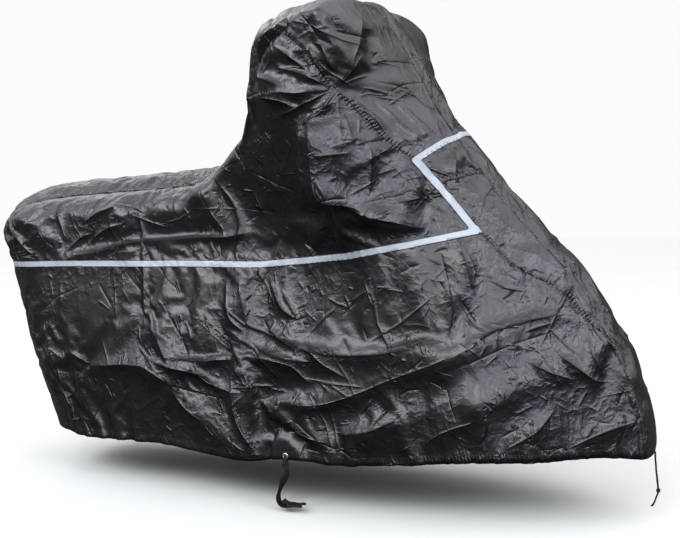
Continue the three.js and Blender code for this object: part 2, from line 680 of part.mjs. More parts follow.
function bucklePlug() {
  const halfBase = [[0, 14.6], [2, buckle.half], [12, buckle.half], [buckle.base, 15]];
  const outlines = [
    [...halfBase, ...mirrored(halfBase)], prongOutline, mirrored(prongOutline),
    [...tongueHalf, ...mirrored(tongueHalf)],
  ];
  const [base, ...rest] = outlines.map((points) => toSolid(plate(outline(points), buckle.thickness)));
  return rest.reduce((joined, solid) => joined.add(solid), base).subtract(buckleSlot(2 * buckle.thickness));
}

function buckleSocket() {
  const { end, height, corner, mouth, mouthHalf, mouthHeight, windowFrom, windowTo } = socket;
  const halfBody = [[0, buckle.half - corner], [corner, buckle.half], [end, buckle.half]];
  const shell = toSolid(plate(outline([...halfBody, ...mirrored(halfBody)]), height));
  const barEnd = boxSolid(-1, buckle.slotEnd, 2 * buckle.half, height);
  const barPlate = boxSolid(-2, buckle.slotEnd + 1, 2 * buckle.half, buckle.thickness);
  const cuts = [
    buckleSlot(2 * height), barEnd.subtract(barPlate), boxSolid(mouth, end + 1, mouthHalf, mouthHeight),
    boxSolid(windowFrom, windowTo, 2 * buckle.half, mouthHeight),
  ];
  return cuts.reduce((left, cut) => left.subtract(cut), shell);
}

// Elastic cord that leaves the nose hem as two strands, is knotted, and ends in a
// loop. forward and up are measured from where it leaves the hem.
const strandRoute = [
  { forward: 0, y: 3, up: 0 }, { forward: 1, y: 2.6, up: -22 }, { forward: 3, y: 2.5, up: -48 },
  { forward: 6, y: 4.2, up: -74 }, { forward: 8, y: 2.7, up: -94 },
];
const knot = { forward: 8.5, up: -100, radius: 5.4, half: 5.6, squash: 0.8 };
const loopRoute = [
  { forward: 8, y: 2.7, up: -106 }, { forward: 4.5, y: 4.6, up: -116 }, { forward: 0, y: 5.4, up: -130 },
  { forward: -5, y: 3.6, up: -139.5 }, { forward: -7.5, y: 0, up: -141.5 },
  { forward: -5, y: -3.6, up: -139.5 }, { forward: 0, y: -5.4, up: -130 },
  { forward: 4.5, y: -4.6, up: -116 }, { forward: 8, y: -2.7, up: -106 },
];
const noseHem = strip.points.at(-1)[stripCells / 2];
const cordExit = { x: noseHem.x - clothThickness / 2, z: noseHem.z - piecesGap };

function cordTube(route, mirror) {
  const stops = route.map(({ forward, y, up }) => (
    new THREE.Vector3(cordExit.x + forward, mirror * y, cordExit.z + up)
  ));
  const sides = 8;
  const section = new THREE.Shape(Array.from({ length: sides }, (_, n) => {
    const angle = ((n + 0.5) * 2 * Math.PI) / sides;
    return new THREE.Vector2(Math.cos(angle), Math.sin(angle)).multiplyScalar(cordDiameter / 2);
  }));
  const extrudePath = new THREE.CatmullRomCurve3(stops);
  return new THREE.ExtrudeGeometry(section, { steps: 14, extrudePath, bevelEnabled: false });
}

function cordKnot() {
  const profile = [[0, -1], [0.62, -0.82], [1, -0.3], [0.86, 0], [1, 0.36], [0.6, 0.84], [0, 1]]
    .map(([radius, height]) => new THREE.Vector2(radius * knot.radius, height * knot.half));
  const lump = new THREE.LatheGeometry(profile, 14);
  lump.rotateX(Math.PI / 2);
  lump.scale(knot.squash, 1, 1);
  return lump.translate(cordExit.x + knot.forward, 0, cordExit.z + knot.up);
}

// Materials
const blackCloth = { color: 0x17181b, roughness: 0.42, metalness: 0 };
const greyTape = { color: 0xb9bfc8, roughness: 0.38, metalness: 0.1 };
const bareMetal = { color: 0xb4b6b8, roughness: 0.3, metalness: 1 };
const blackWebbing = { color: 0x1c1d1e, roughness: 0.75, metalness: 0 };
const blackPlastic = { color: 0x141516, roughness: 0.4, metalness: 0 };
const blackCord = { color: 0x202123, roughness: 0.7, metalness: 0 };

const cover = new THREE.Group();
cover.name = 'fitted_cover';
cover.position.z = carryDepth;

function add(name, shape, finish, place) {
  const geometry = shape.isBufferGeometry ? shape : toGeometry(shape);
  const mesh = new THREE.Mesh(geometry, new THREE.MeshStandardMaterial(finish));
  mesh.name = name;
  if (place) mesh.applyMatrix4(place);
  cover.add(mesh);
}

function addSide(name, panel, side) {
  const { main, wing, tape } = cutSide(panel, side);
  const hemAtEyelet = lookUp(hemStations, hemHeights, eyelet.x);
  const spot = spotOn(main, eyelet.x, hemAtEyelet + eyelet.height, side);
  const place = placedAt(spot);
  add(`side_panel_${name}`, main.subtract(eyeletHole(place)), blackCloth);
  add(`wing_panel_${name}`, wing, blackCloth);
  add(`tape_${name}`, tape, greyTape);
  add(`eyelet_${name}`, eyeletRing(place), bareMetal);
  return spot.point;
}

const rightEyelet = addSide('right', rightSide, -1);
const leftEyelet = addSide('left', leftSide, 1);
const stripTapes = cutStripTapes();

add('centre_strip', sheet(strip, 0, () => clothThickness, { by: seamInset, sides: stripSeams }), blackCloth);
add('tape_tail', stripTapes.tail, greyTape);
add('tape_nose', stripTapes.nose, greyTape);

const plugTurn = new THREE.Matrix4().makeRotationY(-THREE.MathUtils.degToRad(plugAt.pitch));
plugTurn.setPosition(
  rightEyelet.x + plugAt.forward, rightEyelet.y - plugAt.out, rightEyelet.z + plugAt.up,
);
add('belly_strap_long', longStrap(rightEyelet, -1), blackWebbing);
add('buckle_plug', bucklePlug(), blackPlastic, plugTurn);

const socketTurn = new THREE.Matrix4().makeRotationY(Math.PI / 2);
socketTurn.multiply(new THREE.Matrix4().makeRotationX(Math.PI / 2));
socketTurn.setPosition(leftEyelet.x, leftEyelet.y + socketAt.out, leftEyelet.z + socketAt.up);
add('belly_strap_short', shortStrap(leftEyelet, 1), blackWebbing);
add('buckle_socket', buckleSocket(), blackPlastic, socketTurn);

add('drawcord_right', cordTube(strandRoute, -1), blackCord);
add('drawcord_left', cordTube(strandRoute, 1), blackCord);
add('drawcord_knot', cordKnot(), blackCord);
add('drawcord_loop', cordTube(loopRoute, 1), blackCord);

export default cover;
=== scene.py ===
import math
import bpy
import bmesh
import numpy as np
from mathutils import Matrix, Vector
from mathutils.bvhtree import BVHTree


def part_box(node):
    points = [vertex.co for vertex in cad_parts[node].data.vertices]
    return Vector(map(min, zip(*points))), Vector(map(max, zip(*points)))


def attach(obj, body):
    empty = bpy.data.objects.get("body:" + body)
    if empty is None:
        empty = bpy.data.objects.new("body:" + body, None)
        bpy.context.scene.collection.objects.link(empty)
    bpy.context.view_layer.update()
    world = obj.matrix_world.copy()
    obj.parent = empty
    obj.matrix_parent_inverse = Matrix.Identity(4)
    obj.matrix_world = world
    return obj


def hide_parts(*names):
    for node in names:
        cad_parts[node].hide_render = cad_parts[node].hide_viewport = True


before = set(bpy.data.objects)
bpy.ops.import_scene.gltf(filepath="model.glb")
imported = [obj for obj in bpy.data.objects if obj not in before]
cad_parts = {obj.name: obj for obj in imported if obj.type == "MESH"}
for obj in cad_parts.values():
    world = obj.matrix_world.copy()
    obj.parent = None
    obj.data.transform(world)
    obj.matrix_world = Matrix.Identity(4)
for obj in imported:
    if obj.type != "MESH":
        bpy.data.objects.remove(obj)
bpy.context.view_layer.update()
scene = bpy.context.scene
mm = 0.001


# Camera, at the photograph's place and angle

cameraSetup = {
    "place": (1.0677, -2.5483, -0.4995),
    "yaw": 23.94,
    "pitchDown": 4.65,
    "roll": -0.917,
    "focalPixels": 973.6,
    "imageSize": (680, 538),
    "sensorWidth": 36.0,
}


def cameraAxes(setup):
    yaw, pitch, roll = (math.radians(setup[key]) for key in ("yaw", "pitchDown", "roll"))
    forward = Vector((-math.sin(yaw) * math.cos(pitch), math.cos(yaw) * math.cos(pitch), -math.sin(pitch)))
    level = Vector((math.cos(yaw), math.sin(yaw), 0))
    upright = level.cross(forward)
    right = level * math.cos(roll) + upright * math.sin(roll)
    top = upright * math.cos(roll) - level * math.sin(roll)
    return right, top, forward


def makeCamera(setup):
    right, top, forward = cameraAxes(setup)
    data = bpy.data.cameras.new("camera")
    data.sensor_fit = "HORIZONTAL"
    data.sensor_width = setup["sensorWidth"]
    data.lens = setup["sensorWidth"] * setup["focalPixels"] / setup["imageSize"][0]
    data.clip_end = 60
    camera = bpy.data.objects.new("camera", data)
    scene.collection.objects.link(camera)
    turn = Matrix((right, top, -forward)).transposed().to_4x4()
    camera.matrix_world = Matrix.Translation(setup["place"]) @ turn
    scene.camera = camera


makeCamera(cameraSetup)


# Shader graphs: wires add and multiply like numbers

class Wire:
    def __init__(self, graph, socket):
        self.graph = graph
        self.socket = socket

    def calc(self, operation, first, second=None):
        values = {0: first} if second is None else {0: first, 1: second}
        return self.graph.add("ShaderNodeMath", {"operation": operation}, values)

    def __add__(self, other):
        return self.calc("ADD", self, other)

    def __sub__(self, other):
        return self.calc("SUBTRACT", self, other)

    def __mul__(self, other):
        return self.calc("MULTIPLY", self, other)

    def __truediv__(self, other):
        return self.calc("DIVIDE", self, other)

    def __radd__(self, other):
        return self.calc("ADD", other, self)

    def __rsub__(self, other):
        return self.calc("SUBTRACT", other, self)

    def __rmul__(self, other):
        return self.calc("MULTIPLY", other, self)

    def __pow__(self, other):
        return self.calc("POWER", self, other)

    def size(self):
        return self.calc("ABSOLUTE", self)

    def sine(self):
        return self.calc("SINE", self)

    def fading(self, width):
        return self.calc("EXPONENT", self.size() * (-1 / width))

    def clipped(self):
        return self.graph.add("ShaderNodeClamp", {}, {0: self})


class Graph:
    def __init__(self, name):
        self.material = bpy.data.materials.new(name)
        self.material.use_nodes = True
        self.tree = self.material.node_tree
        self.tree.nodes.clear()
        self.surface = self.tree.nodes.new("ShaderNodeBsdfPrincipled")
        output = self.tree.nodes.new("ShaderNodeOutputMaterial")
        self.tree.links.new(self.surface.outputs[0], output.inputs[0])

    def feed(self, node, values):
        for key, value in values.items():
            if isinstance(value, Wire):
                self.tree.links.new(value.socket, node.inputs[key])
            else:
                node.inputs[key].default_value = value

    def add(self, kind, settings, values, output=0):
        node = self.tree.nodes.new(kind)
        for key, value in settings.items():
            if key == "stops":
                self.setStops(node.color_ramp, value)
            else:
                setattr(node, key, value)
        self.feed(node, values)
        return Wire(self, node.outputs[output])

    def setStops(self, ramp, stops):
        while len(ramp.elements) < len(stops):
            ramp.elements.new(1.0)
        for element, (position, colour) in zip(ramp.elements, stops):
            element.position = position
            element.color = (*colour, 1.0)

    def place(self):
        return self.add("ShaderNodeTexCoord", {}, {}, "Object")

    def number(self, name):
        return self.add("ShaderNodeAttribute", {"attribute_name": name}, {}, "Fac")

    def ownMap(self, name):
        return self.add("ShaderNodeUVMap", {"uv_map": name}, {})

    def noise(self, vector, scale, detail=2.0, roughness=0.5, distortion=0.0):
        return self.add("ShaderNodeTexNoise", {}, {
            "Vector": vector, "Scale": scale, "Detail": detail,
            "Roughness": roughness, "Distortion": distortion,
        })

    def vectorCalc(self, operation, values):
        return self.add("ShaderNodeVectorMath", {"operation": operation}, values)

    def warped(self, vector, scale, reach):
        values = {"Vector": vector, "Scale": scale, "Detail": 1.0}
        cloud = self.add("ShaderNodeTexNoise", {}, values, "Color")
        centred = self.vectorCalc("SUBTRACT", {0: cloud, 1: (0.5, 0.5, 0.5)})
        step = self.vectorCalc("SCALE", {0: centred, "Scale": reach})
        return self.vectorCalc("ADD", {0: vector, 1: step})

    def stretched(self, vector, scale):
        return self.add("ShaderNodeMapping", {}, {"Vector": vector, "Scale": scale})

    def part(self, vector, axis):
        return self.add("ShaderNodeSeparateXYZ", {}, {0: vector}, axis)

    def ranged(self, value, low, high, least=0.0, most=1.0):
        return self.add("ShaderNodeMapRange", {}, {0: value, 1: low, 2: high, 3: least, 4: most})

    def mix(self, share, *colours):
        first, second = (value if isinstance(value, Wire) else (*value, 1) for value in colours)
        return self.add("ShaderNodeMix", {"data_type": "RGBA"}, {0: share, 6: first, 7: second}, 2)

    def blend(self, share, first, second):
        return self.add("ShaderNodeMix", {"data_type": "FLOAT"}, {0: share, 2: first, 3: second}, 0)

    def bump(self, height, distance, strength=1.0, under=None):
        values = {"Height": height, "Distance": distance, "Strength": strength}
        if under is not None:
            values["Normal"] = under
        return self.add("ShaderNodeBump", {}, values)

    def finish(self, **values):
        self.feed(self.surface, {key.replace("_", " "): value for key, value in values.items()})
        return self.material


def ridges(noise, sharpness):
    # Thin lines where the noise passes through its middle
    return (1 - (noise * 2 - 1).size()) ** sharpness


clothFinish = {
    "deep": (0.0022, 0.0023, 0.0027),
    "light": (0.0060, 0.0056, 0.0064),
    "dust": (0.036, 0.032, 0.030),
    "dustShare": 0.08,
    "dustFrom": 0.50,
    "dustFull": 0.72,
    "dustDull": 0.25,
    "roughness": (0.33, 0.43),
    "specular": 0.6,
    # Soft, broad and tight wrinkles: how many to a metre, and their shares of the depth
    "wrinkleScales": (9.0, 14.0, 36.0),
    "wrinkleShares": (0.9, 0.9, 0.42),
    "wrinkleDepth": 2.3 * mm,
    # Where the broad and the tight ones show: patches to a metre, from and full, least and most
    "patchScale": 3.2,
    "patchRange": (0.36, 0.62, 0.25, 1.0),
    "creaseSets": 7,
    "creaseWidth": 2.8,
    "creaseDepth": 3.8 * mm,
    "gatherPitch": 8.6,
    "gatherDrift": 9.0,
    "gatherDepth": 1.3 * mm,
    "crinkleScale": 120.0,
    "crinkleDepth": 0.22 * mm,
    "threadPitch": 1.1 * mm,
    "threadDepth": 0.02 * mm,
    "threadStrength": 0.6,
}


def makeCloth(name, finish):
    graph = Graph(name)
    place = graph.place()
    warped = graph.warped(place, 5.0, 0.07)
    soft, broad, tight = finish["wrinkleScales"]
    softShare, broadShare, tightShare = finish["wrinkleShares"]
    broadLines = ridges(graph.noise(warped, broad, 2.0, 0.45), 5.0)
    tightLines = ridges(graph.noise(graph.warped(place, 14.0, 0.03), tight, 2.0, 0.5), 4.0)
    patches = graph.ranged(graph.noise(place, finish["patchScale"], 1.0), *finish["patchRange"])
    height = (
        graph.noise(place, soft, 3.0, 0.55) * softShare
        + broadLines * patches * broadShare + tightLines * patches * tightShare
    )
    wrinkled = graph.bump(height, finish["wrinkleDepth"])
    # Sharp crease lines, by each point's distance from the nearest one and how much it shows
    lines = sum(
        graph.number(f"creaseAway{n}").fading(finish["creaseWidth"]) * graph.number(f"creaseShare{n}")
        for n in range(finish["creaseSets"])
    )
    wrinkled = graph.bump(lines, finish["creaseDepth"], 1.0, wrinkled)
    # Gathers along elastic seams, by each point's share and its way along the seam
    share, way = graph.number("gatherShare"), graph.number("gatherWay")
    drift = graph.noise(place, 60.0, 3.0) * finish["gatherDrift"]
    gathers = (way * (2 * math.pi / finish["gatherPitch"]) + drift).sine() * share
    wrinkled = graph.bump(gathers, finish["gatherDepth"], 1.0, wrinkled)
    crinkle = graph.noise(place, finish["crinkleScale"], 3.0, 0.6)
    crinkled = graph.bump(crinkle, finish["crinkleDepth"], 1.0, wrinkled)
    weave = graph.ownMap("clothMap")
    turns = 2 * math.pi / finish["threadPitch"]
    threads = (graph.part(weave, 0) * turns).sine() * (graph.part(weave, 1) * turns).sine()
    normal = graph.bump(threads, finish["threadDepth"], finish["threadStrength"], crinkled)
    dusty = graph.noise(graph.warped(place, 2.0, 0.2), 4.5, 5.0, 0.62)
    dust = graph.ranged(dusty, finish["dustFrom"], finish["dustFull"], 0.0, finish["dustShare"])
    colour = graph.mix(graph.noise(place, 2.6, 3.0, 0.55), finish["deep"], finish["light"])
    colour = graph.mix(dust, colour, finish["dust"])
    dull = graph.blend(graph.noise(place, 7.0, 4.0, 0.6), *finish["roughness"])
    return graph.finish(
        Base_Color=colour, Roughness=dull + dust * finish["dustDull"], Normal=normal,
        Specular_IOR_Level=finish["specular"],
    )


tapeFinish = {
    "bright": (0.285, 0.315, 0.335),
    "worn": (0.215, 0.235, 0.25),
    # Dark colour along both edges of the tape: its stitched seam, with painted shade there as well
    "edge": (0.030, 0.032, 0.036),
    "halfWidth": 9.5,
    "edgeWidth": 1.5,
    "edgeSoftness": 0.3,
    # On the tape, then on its stitched edges
    "roughness": (0.55, 0.65),
    "wornDull": 0.12,
    "metallic": 0.1,
    "beadScale": 900.0,
    "beadDepth": 0.05 * mm,
    "waveDepth": 0.5 * mm,
}


def makeTape(name, finish):
    graph = Graph(name)
    place = graph.place()
    across = graph.number("fromMiddle").size()
    worn = graph.noise(place, 34.0, 5.0, 0.65)
    silver = graph.mix(worn, finish["bright"], finish["worn"])
    inner, softness = finish["halfWidth"] - finish["edgeWidth"], finish["edgeSoftness"]
    # The tape's edges take the dark colour of the seam and of painted shade along them
    edge = graph.ranged(across, inner - softness, inner + softness)
    beadValues = {"Vector": place, "Scale": finish["beadScale"]}
    beads = graph.add("ShaderNodeTexVoronoi", {}, beadValues, "Distance")
    normal = graph.bump(graph.noise(place, 60.0, 3.0, 0.6), finish["waveDepth"])
    return graph.finish(
        Base_Color=graph.mix(edge, silver, finish["edge"]),
        Roughness=graph.blend(edge, *finish["roughness"]) + worn * finish["wornDull"],
        Normal=graph.bump(beads, finish["beadDepth"], 0.5, normal),
        Metallic=(1 - edge) * finish["metallic"],
    )


metalFinish = {
    "bright": (0.60, 0.60, 0.61),
    "dullShare": 0.62,
    "roughness": 0.22,
    "dullRoughness": 0.25,
    "scratchDepth": 0.03 * mm,
}


def makeMetal(name, finish):
    graph = Graph(name)
    place = graph.place()
    scratches = graph.noise(graph.stretched(place, (1.0, 1.0, 6.0)), 900.0, 3.0, 0.7)
    dull = graph.noise(place, 260.0, 4.0, 0.65)
    worn = [finish["dullShare"] * part for part in finish["bright"]]
    return graph.finish(
        Base_Color=graph.mix(dull, finish["bright"], worn), Metallic=1.0,
        Roughness=dull * finish["dullRoughness"] + finish["roughness"],
        Normal=graph.bump(scratches, finish["scratchDepth"]),
    )


webbingFinish = {
    # Dark in the weave's hollows and light on its ribs: painted shade in the weave
    "dark": (0.004, 0.004, 0.0045),
    "light": (0.020, 0.020, 0.021),
    "ribPitch": 1.9 * mm,
    "ribDepth": 0.22 * mm,
    "roughness": 0.9,
    "specular": 0.3,
}


def makeWebbing(name, finish):
    graph = Graph(name)
    weave = graph.ownMap("bandMap")
    along, across = graph.part(weave, 0), graph.part(weave, 1)
    turns = 2 * math.pi / finish["ribPitch"]
    chevron = along + across.size() * 0.6
    ribs = (chevron * turns).sine() * 0.5 + 0.5
    warp = (across * turns * 1.3).sine() * 0.5 + 0.5
    fuzz = graph.noise(graph.place(), 700.0, 3.0, 0.6)
    # The colour follows this height too, darker in the hollows: painted shade
    height = ribs * 0.6 + warp * 0.4 + fuzz * 0.35
    return graph.finish(
        Base_Color=graph.mix((height * 0.7).clipped(), finish["dark"], finish["light"]),
        Roughness=finish["roughness"] - ribs * 0.25,
        Normal=graph.bump(height, finish["ribDepth"]), Specular_IOR_Level=finish["specular"],
    )


plasticFinish = {
    "buckle": (0.014, 0.014, 0.015),
    "thread": (0.022, 0.022, 0.024),
    "wornShare": 1.9,
    "roughness": 0.17,
    "wornRoughness": 0.15,
    "grainDepth": 0.02 * mm,
    "specular": 0.7,
}


def makePlastic(name, colour, finish):
    graph = Graph(name)
    place = graph.place()
    grain = graph.noise(place, 1500.0, 2.0, 0.5)
    worn = graph.noise(place, 90.0, 4.0, 0.6)
    return graph.finish(
        Base_Color=graph.mix(worn, colour, [finish["wornShare"] * part for part in colour]),
        Roughness=worn * finish["wornRoughness"] + finish["roughness"],
        Normal=graph.bump(grain, finish["grainDepth"], 0.6), Specular_IOR_Level=finish["specular"],
    )


cordFinish = {
    # Dark in the braid's hollows and light on its strands: painted shade in the braid
    "dark": (0.003, 0.003, 0.0035),
    "light": (0.018, 0.018, 0.020),
    "braidScale": 620.0,
    "braidDepth": 0.25 * mm,
    "roughness": 0.85,
    "specular": 0.3,
}


def makeBraid(name, finish):
    graph = Graph(name)
    place = graph.place()
    x, y, z = (graph.part(place, axis) for axis in range(3))
    turns = 2 * math.pi * finish["braidScale"]
    one = ((z + x * 0.8 + y * 0.8) * turns).sine()
    two = ((z - x * 0.8 - y * 0.8) * turns).sine()
    # The colour follows this height too, darker in the hollows: painted shade
    braid = one * two * 0.5 + 0.5
    fuzz = graph.noise(place, 1300.0, 3.0, 0.6)
    return graph.finish(
        Base_Color=graph.mix(braid, finish["dark"], finish["light"]),
        Roughness=finish["roughness"] - braid * 0.2,
        Normal=graph.bump(braid + fuzz * 0.5, finish["braidDepth"]),
        Specular_IOR_Level=finish["specular"],
    )


cloth = makeCloth("blackCloth", clothFinish)
tapeSilver = makeTape("silverTape", tapeFinish)
eyeletMetal = makeMetal("eyeletMetal", metalFinish)
strapWeb = makeWebbing("blackWebbing", webbingFinish)
buckleBlack = makePlastic("blackPlastic", plasticFinish["buckle"], plasticFinish)
cordBraid = makeBraid("blackBraid", cordFinish)
threadBlack = makePlastic("blackThread", plasticFinish["thread"], plasticFinish)
print("materials made")


# Curves and tables, in millimetres with heights counted from just over the dome

carryDepth = 20.0


def smoothstep(low, high, value):
    share = np.clip((value - low) / (high - low), 0, 1)
    return share * share * (3 - 2 * share)


def bell(distance, width):
    return np.exp(-((distance / width) ** 2))


def smoothPath(points, steps):
    # Centripetal curve through the points, with this many steps from each to the next
    points = np.asarray(points, float)
    padded = np.vstack([2 * points[0] - points[1], points, 2 * points[-1] - points[-2]])
    t = (np.arange(steps) / steps)[:, None]
    pieces = []
    for k in range(len(points) - 1):
        before, start, end, after = padded[k:k + 4]
        pairs = ((before, start), (start, end), (end, after))
        gaps = [max(np.linalg.norm(b - a), 1e-6) ** 0.5 for a, b in pairs]
        first = (start - before) / gaps[0] - (end - before) / (gaps[0] + gaps[1]) + (end - start) / gaps[1]
        second = (end - start) / gaps[1] - (after - start) / (gaps[1] + gaps[2]) + (after - end) / gaps[2]
        first, second = first * gaps[1], second * gaps[1]
        pieces.append(
            (2 * t**3 - 3 * t**2 + 1) * start + (t**3 - 2 * t**2 + t) * first
            + (3 * t**2 - 2 * t**3) * end + (t**3 - t**2) * second
        )
    return np.vstack([*pieces, points[-1:]])


def runLengths(points):
    steps = np.linalg.norm(np.diff(points, axis=0), axis=1)
    return np.concatenate([[0.0], np.cumsum(steps)])


def lookUp(stops, values, position):
    # values has one row for each stop, and each row is a number or an array like position
    stops = np.asarray(stops, float)
    position = np.asarray(position, float)
    values = np.asarray(values, float)
    if values.ndim == 1:
        values = values.reshape((-1,) + (1,) * position.ndim)
    values = np.broadcast_to(values, (len(stops),) + position.shape)
    if stops[-1] < stops[0]:
        stops, values = stops[::-1], values[::-1]
    cell = np.clip(np.searchsorted(stops, position) - 1, 0, len(stops) - 2)
    t = np.clip((position - stops[cell]) / (stops[cell + 1] - stops[cell]), 0, 1)

    def at(index):
        return np.take_along_axis(values, np.clip(index, 0, len(stops) - 1)[None], 0)[0]

    start, end = at(cell), at(cell + 1)
    slopeStart, slopeEnd = (end - at(cell - 1)) / 2, (at(cell + 2) - start) / 2
    return (
        (2 * t**3 - 3 * t**2 + 1) * start + (t**3 - 2 * t**2 + t) * slopeStart
        + (3 * t**2 - 2 * t**3) * end + (t**3 - t**2) * slopeEnd
    )


def smoothNoise(position, step, seed):
    # Soft random line between -1 and 1, with a new value every step
    count = 4096
    values = np.random.default_rng(seed).uniform(-1, 1, count)
    at = np.asarray(position, float) / step + 7
    cell = np.floor(at).astype(int)
    t = at - cell
    t = t * t * (3 - 2 * t)
    return values[cell % count] * (1 - t) + values[(cell + 1) % count] * t


def twoNoises(position, step, share, wider, seed):
    # With a second line, this share as strong and this many times as wide
    return smoothNoise(position, step, seed) + share * smoothNoise(position, wider * step, seed + 1)


def toPart(points):
    return (np.asarray(points, float) + (0, 0, carryDepth)) * mm


# Elastic drawcord, one cord that leaves the nose hem twice, is knotted and ends in a loop

drawcord = {
    "diameter": 4 * mm,
    "strand": [(0, 3, 0), (0.6, 2.7, -12), (1, 2.6, -22), (2.2, 2.5, -35), (3, 2.5, -48), (4.8, 3.4, -62),
               (6, 4.2, -74), (7.2, 3.4, -85), (8, 2.7, -94)],
    "loop": [(8.2, 2.6, -100), (8, 2.7, -106), (4.5, 4.6, -116), (2, 5.3, -124), (0, 5.4, -130),
             (-5, 3.6, -139.5)],
    "loopEnd": (-7.5, 0, -141.5),
    "knotCentre": (8.5, 0, -100),
    "knotRadii": (3.0, 4.3),
    "knotRise": 5.2,
    "knotTurns": 2.1,
    "knotSwell": 0.12,
}

cordLow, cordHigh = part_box("drawcord_right")
cordExit = Vector((cordLow.x + drawcord["diameter"] / 2, 0, cordHigh.z - 0.1 * mm))


def cordPoint(forward, y, up):
    return cordExit + Vector((forward, y, up)) * mm


def makeDrawcord(setup):
    right = [(forward, -y, up) for forward, y, up in setup["strand"] + setup["loop"]]
    left = [(forward, y, up) for forward, y, up in reversed(setup["strand"] + setup["loop"])]
    points = [cordPoint(*point) for point in [*right, setup["loopEnd"], *left]]
    data = bpy.data.curves.new("drawcord", "CURVE")
    data.dimensions = "3D"
    data.bevel_depth = setup["diameter"] / 2
    data.bevel_resolution = 4
    data.resolution_u = 6
    data.use_fill_caps = True
    spline = data.splines.new("BEZIER")
    spline.bezier_points.add(len(points) - 1)
    for knob, point in zip(spline.bezier_points, points):
        knob.co = point
        knob.handle_left_type = knob.handle_right_type = "AUTO"
    data.materials.append(cordBraid)
    cord = bpy.data.objects.new("drawcord", data)
    scene.collection.objects.link(cord)
    length = sum((b - a).length for a, b in zip(points, points[1:]))
    return cord, points, length


def addMesh(name, vertices, faces, material, smooth=True):
    mesh = bpy.data.meshes.new(name)
    mesh.from_pydata(np.asarray(vertices, float).tolist(), [], faces)
    mesh.materials.append(material)
    mesh.polygons.foreach_set("use_smooth", [smooth] * len(mesh.polygons))
    mesh.update()
    piece = bpy.data.objects.new(name, mesh)
    scene.collection.objects.link(piece)
    return piece


def giveMap(piece, name, coordinates):
    mesh = piece.data
    corners = np.zeros(len(mesh.loops), int)
    mesh.loops.foreach_get("vertex_index", corners)
    layer = mesh.uv_layers.new(name=name)
    layer.data.foreach_set("uv", np.asarray(coordinates, np.float32)[corners].ravel())


def giveNumber(piece, name, values):
    attribute = piece.data.attributes.new(name, "FLOAT", "POINT")
    attribute.data.foreach_set("value", np.asarray(values, np.float32))


def tubeFaces(rings, around):
    # Quads from each ring of points to the next, and a cap at both ends
    faces = []
    for k in range(rings - 1):
        for n in range(around):
            a, b = k * around + n, k * around + (n + 1) % around
            faces.append((a, b, b + around, a + around))
    faces.append(tuple(range(around - 1, -1, -1)))
    faces.append(tuple(range((rings - 1) * around, rings * around)))
    return faces


def addTube(name, path, radius, material, sides=10):
    # A round tube along the points, closed at both ends
    path = np.asarray(path, float)
    along = np.gradient(path, axis=0)
    along /= np.linalg.norm(along, axis=1)[:, None]
    hint = np.array([0.0, 0.0, 1.0])
    vertices = []
    for k, point in enumerate(path):
        side = np.cross(along[k], hint)
        if np.linalg.norm(side) < 0.1:
            side = np.cross(along[k], (1.0, 0.0, 0.0))
        side /= np.linalg.norm(side)
        up = np.cross(side, along[k])
        for n in range(sides):
            angle = 2 * math.pi * n / sides
            vertices.append(point + radius * (math.cos(angle) * side + math.sin(angle) * up))
    return addMesh(name, vertices, tubeFaces(len(path), sides), material)


def makeKnot(setup):
    turns, (small, wide) = setup["knotTurns"], setup["knotRadii"]
    centre = setup["knotCentre"]
    path, steps = [], 59
    for n in range(steps + 1):
        share = n / steps
        angle = 2 * math.pi * turns * share
        swell = 1 + setup["knotSwell"] * math.sin(math.pi * share)
        path.append(cordPoint(
            centre[0] + small * swell * math.cos(angle), wide * swell * math.sin(angle),
            centre[2] + setup["knotRise"] * (0.5 - share) + 0.5 * math.sin(angle),
        ))
    return addTube("drawcord_wrap", path, setup["diameter"] / 2, cordBraid)


drawcordPiece, drawcordPath, drawcordLength = makeDrawcord(drawcord)
knotPiece = makeKnot(drawcord)
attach(drawcordPiece, "root")
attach(knotPiece, "root")
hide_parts("drawcord_right", "drawcord_left", "drawcord_loop")
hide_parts("drawcord_knot")
print("drawcord made,", round(drawcordLength, 3), "m")


# The drape's own shape: seams seen from the side, as x, z, half width and crown

tailSeam = [
    (-1000, -1238, 80, 14), (-1040, -1130, 84, 18), (-1090, -960, 90, 24), (-1134, -800, 94, 28),
    (-1166, -700, 96, 32), (-1190, -632, 98, 36), (-1164, -572, 100, 44),
]
topSeam = [
    (-1164, -572, 100, 44), (-1080, -546, 100, 50), (-945, -528, 100, 52), (-720, -514, 100, 50),
    (-560, -505, 98, 52), (-450, -490, 94, 48), (-380, -450, 88, 30), (-310, -388, 80, 18),
    (-256, -330, 72, 14), (-222, -262, 64, 12), (-212, -190, 58, 12), (-208, -130, 54, 12),
    (-198, -84, 52, 10), (-168, -52, 50, 8), (-116, -40, 50, 6), (-50, -28, 50, 6), (20, -12, 50, 6),
    (66, -20, 50, 8), (104, -58, 50, 10),
]
noseSeam = [
    (790, -1199, 80, 18), (788, -1150, 80, 20), (780, -1100, 80, 20), (764, -1038, 80, 20),
    (738, -966, 80, 22), (694, -884, 80, 22), (642, -800, 80, 24), (592, -726, 78, 22),
    (532, -661, 76, 20), (433, -551, 70, 18), (355, -446, 62, 16), (272, -340, 56, 14),
    (204, -222, 52, 12), (148, -125, 50, 10), (104, -58, 50, 10),
]
hemLine = [
    (-1000, -1238), (-780, -1233), (-560, -1228), (-370, -1238), (-180, -1235), (-30, -1229), (146, -1218),
    (295, -1206), (467, -1193), (668, -1192), (790, -1199),
]

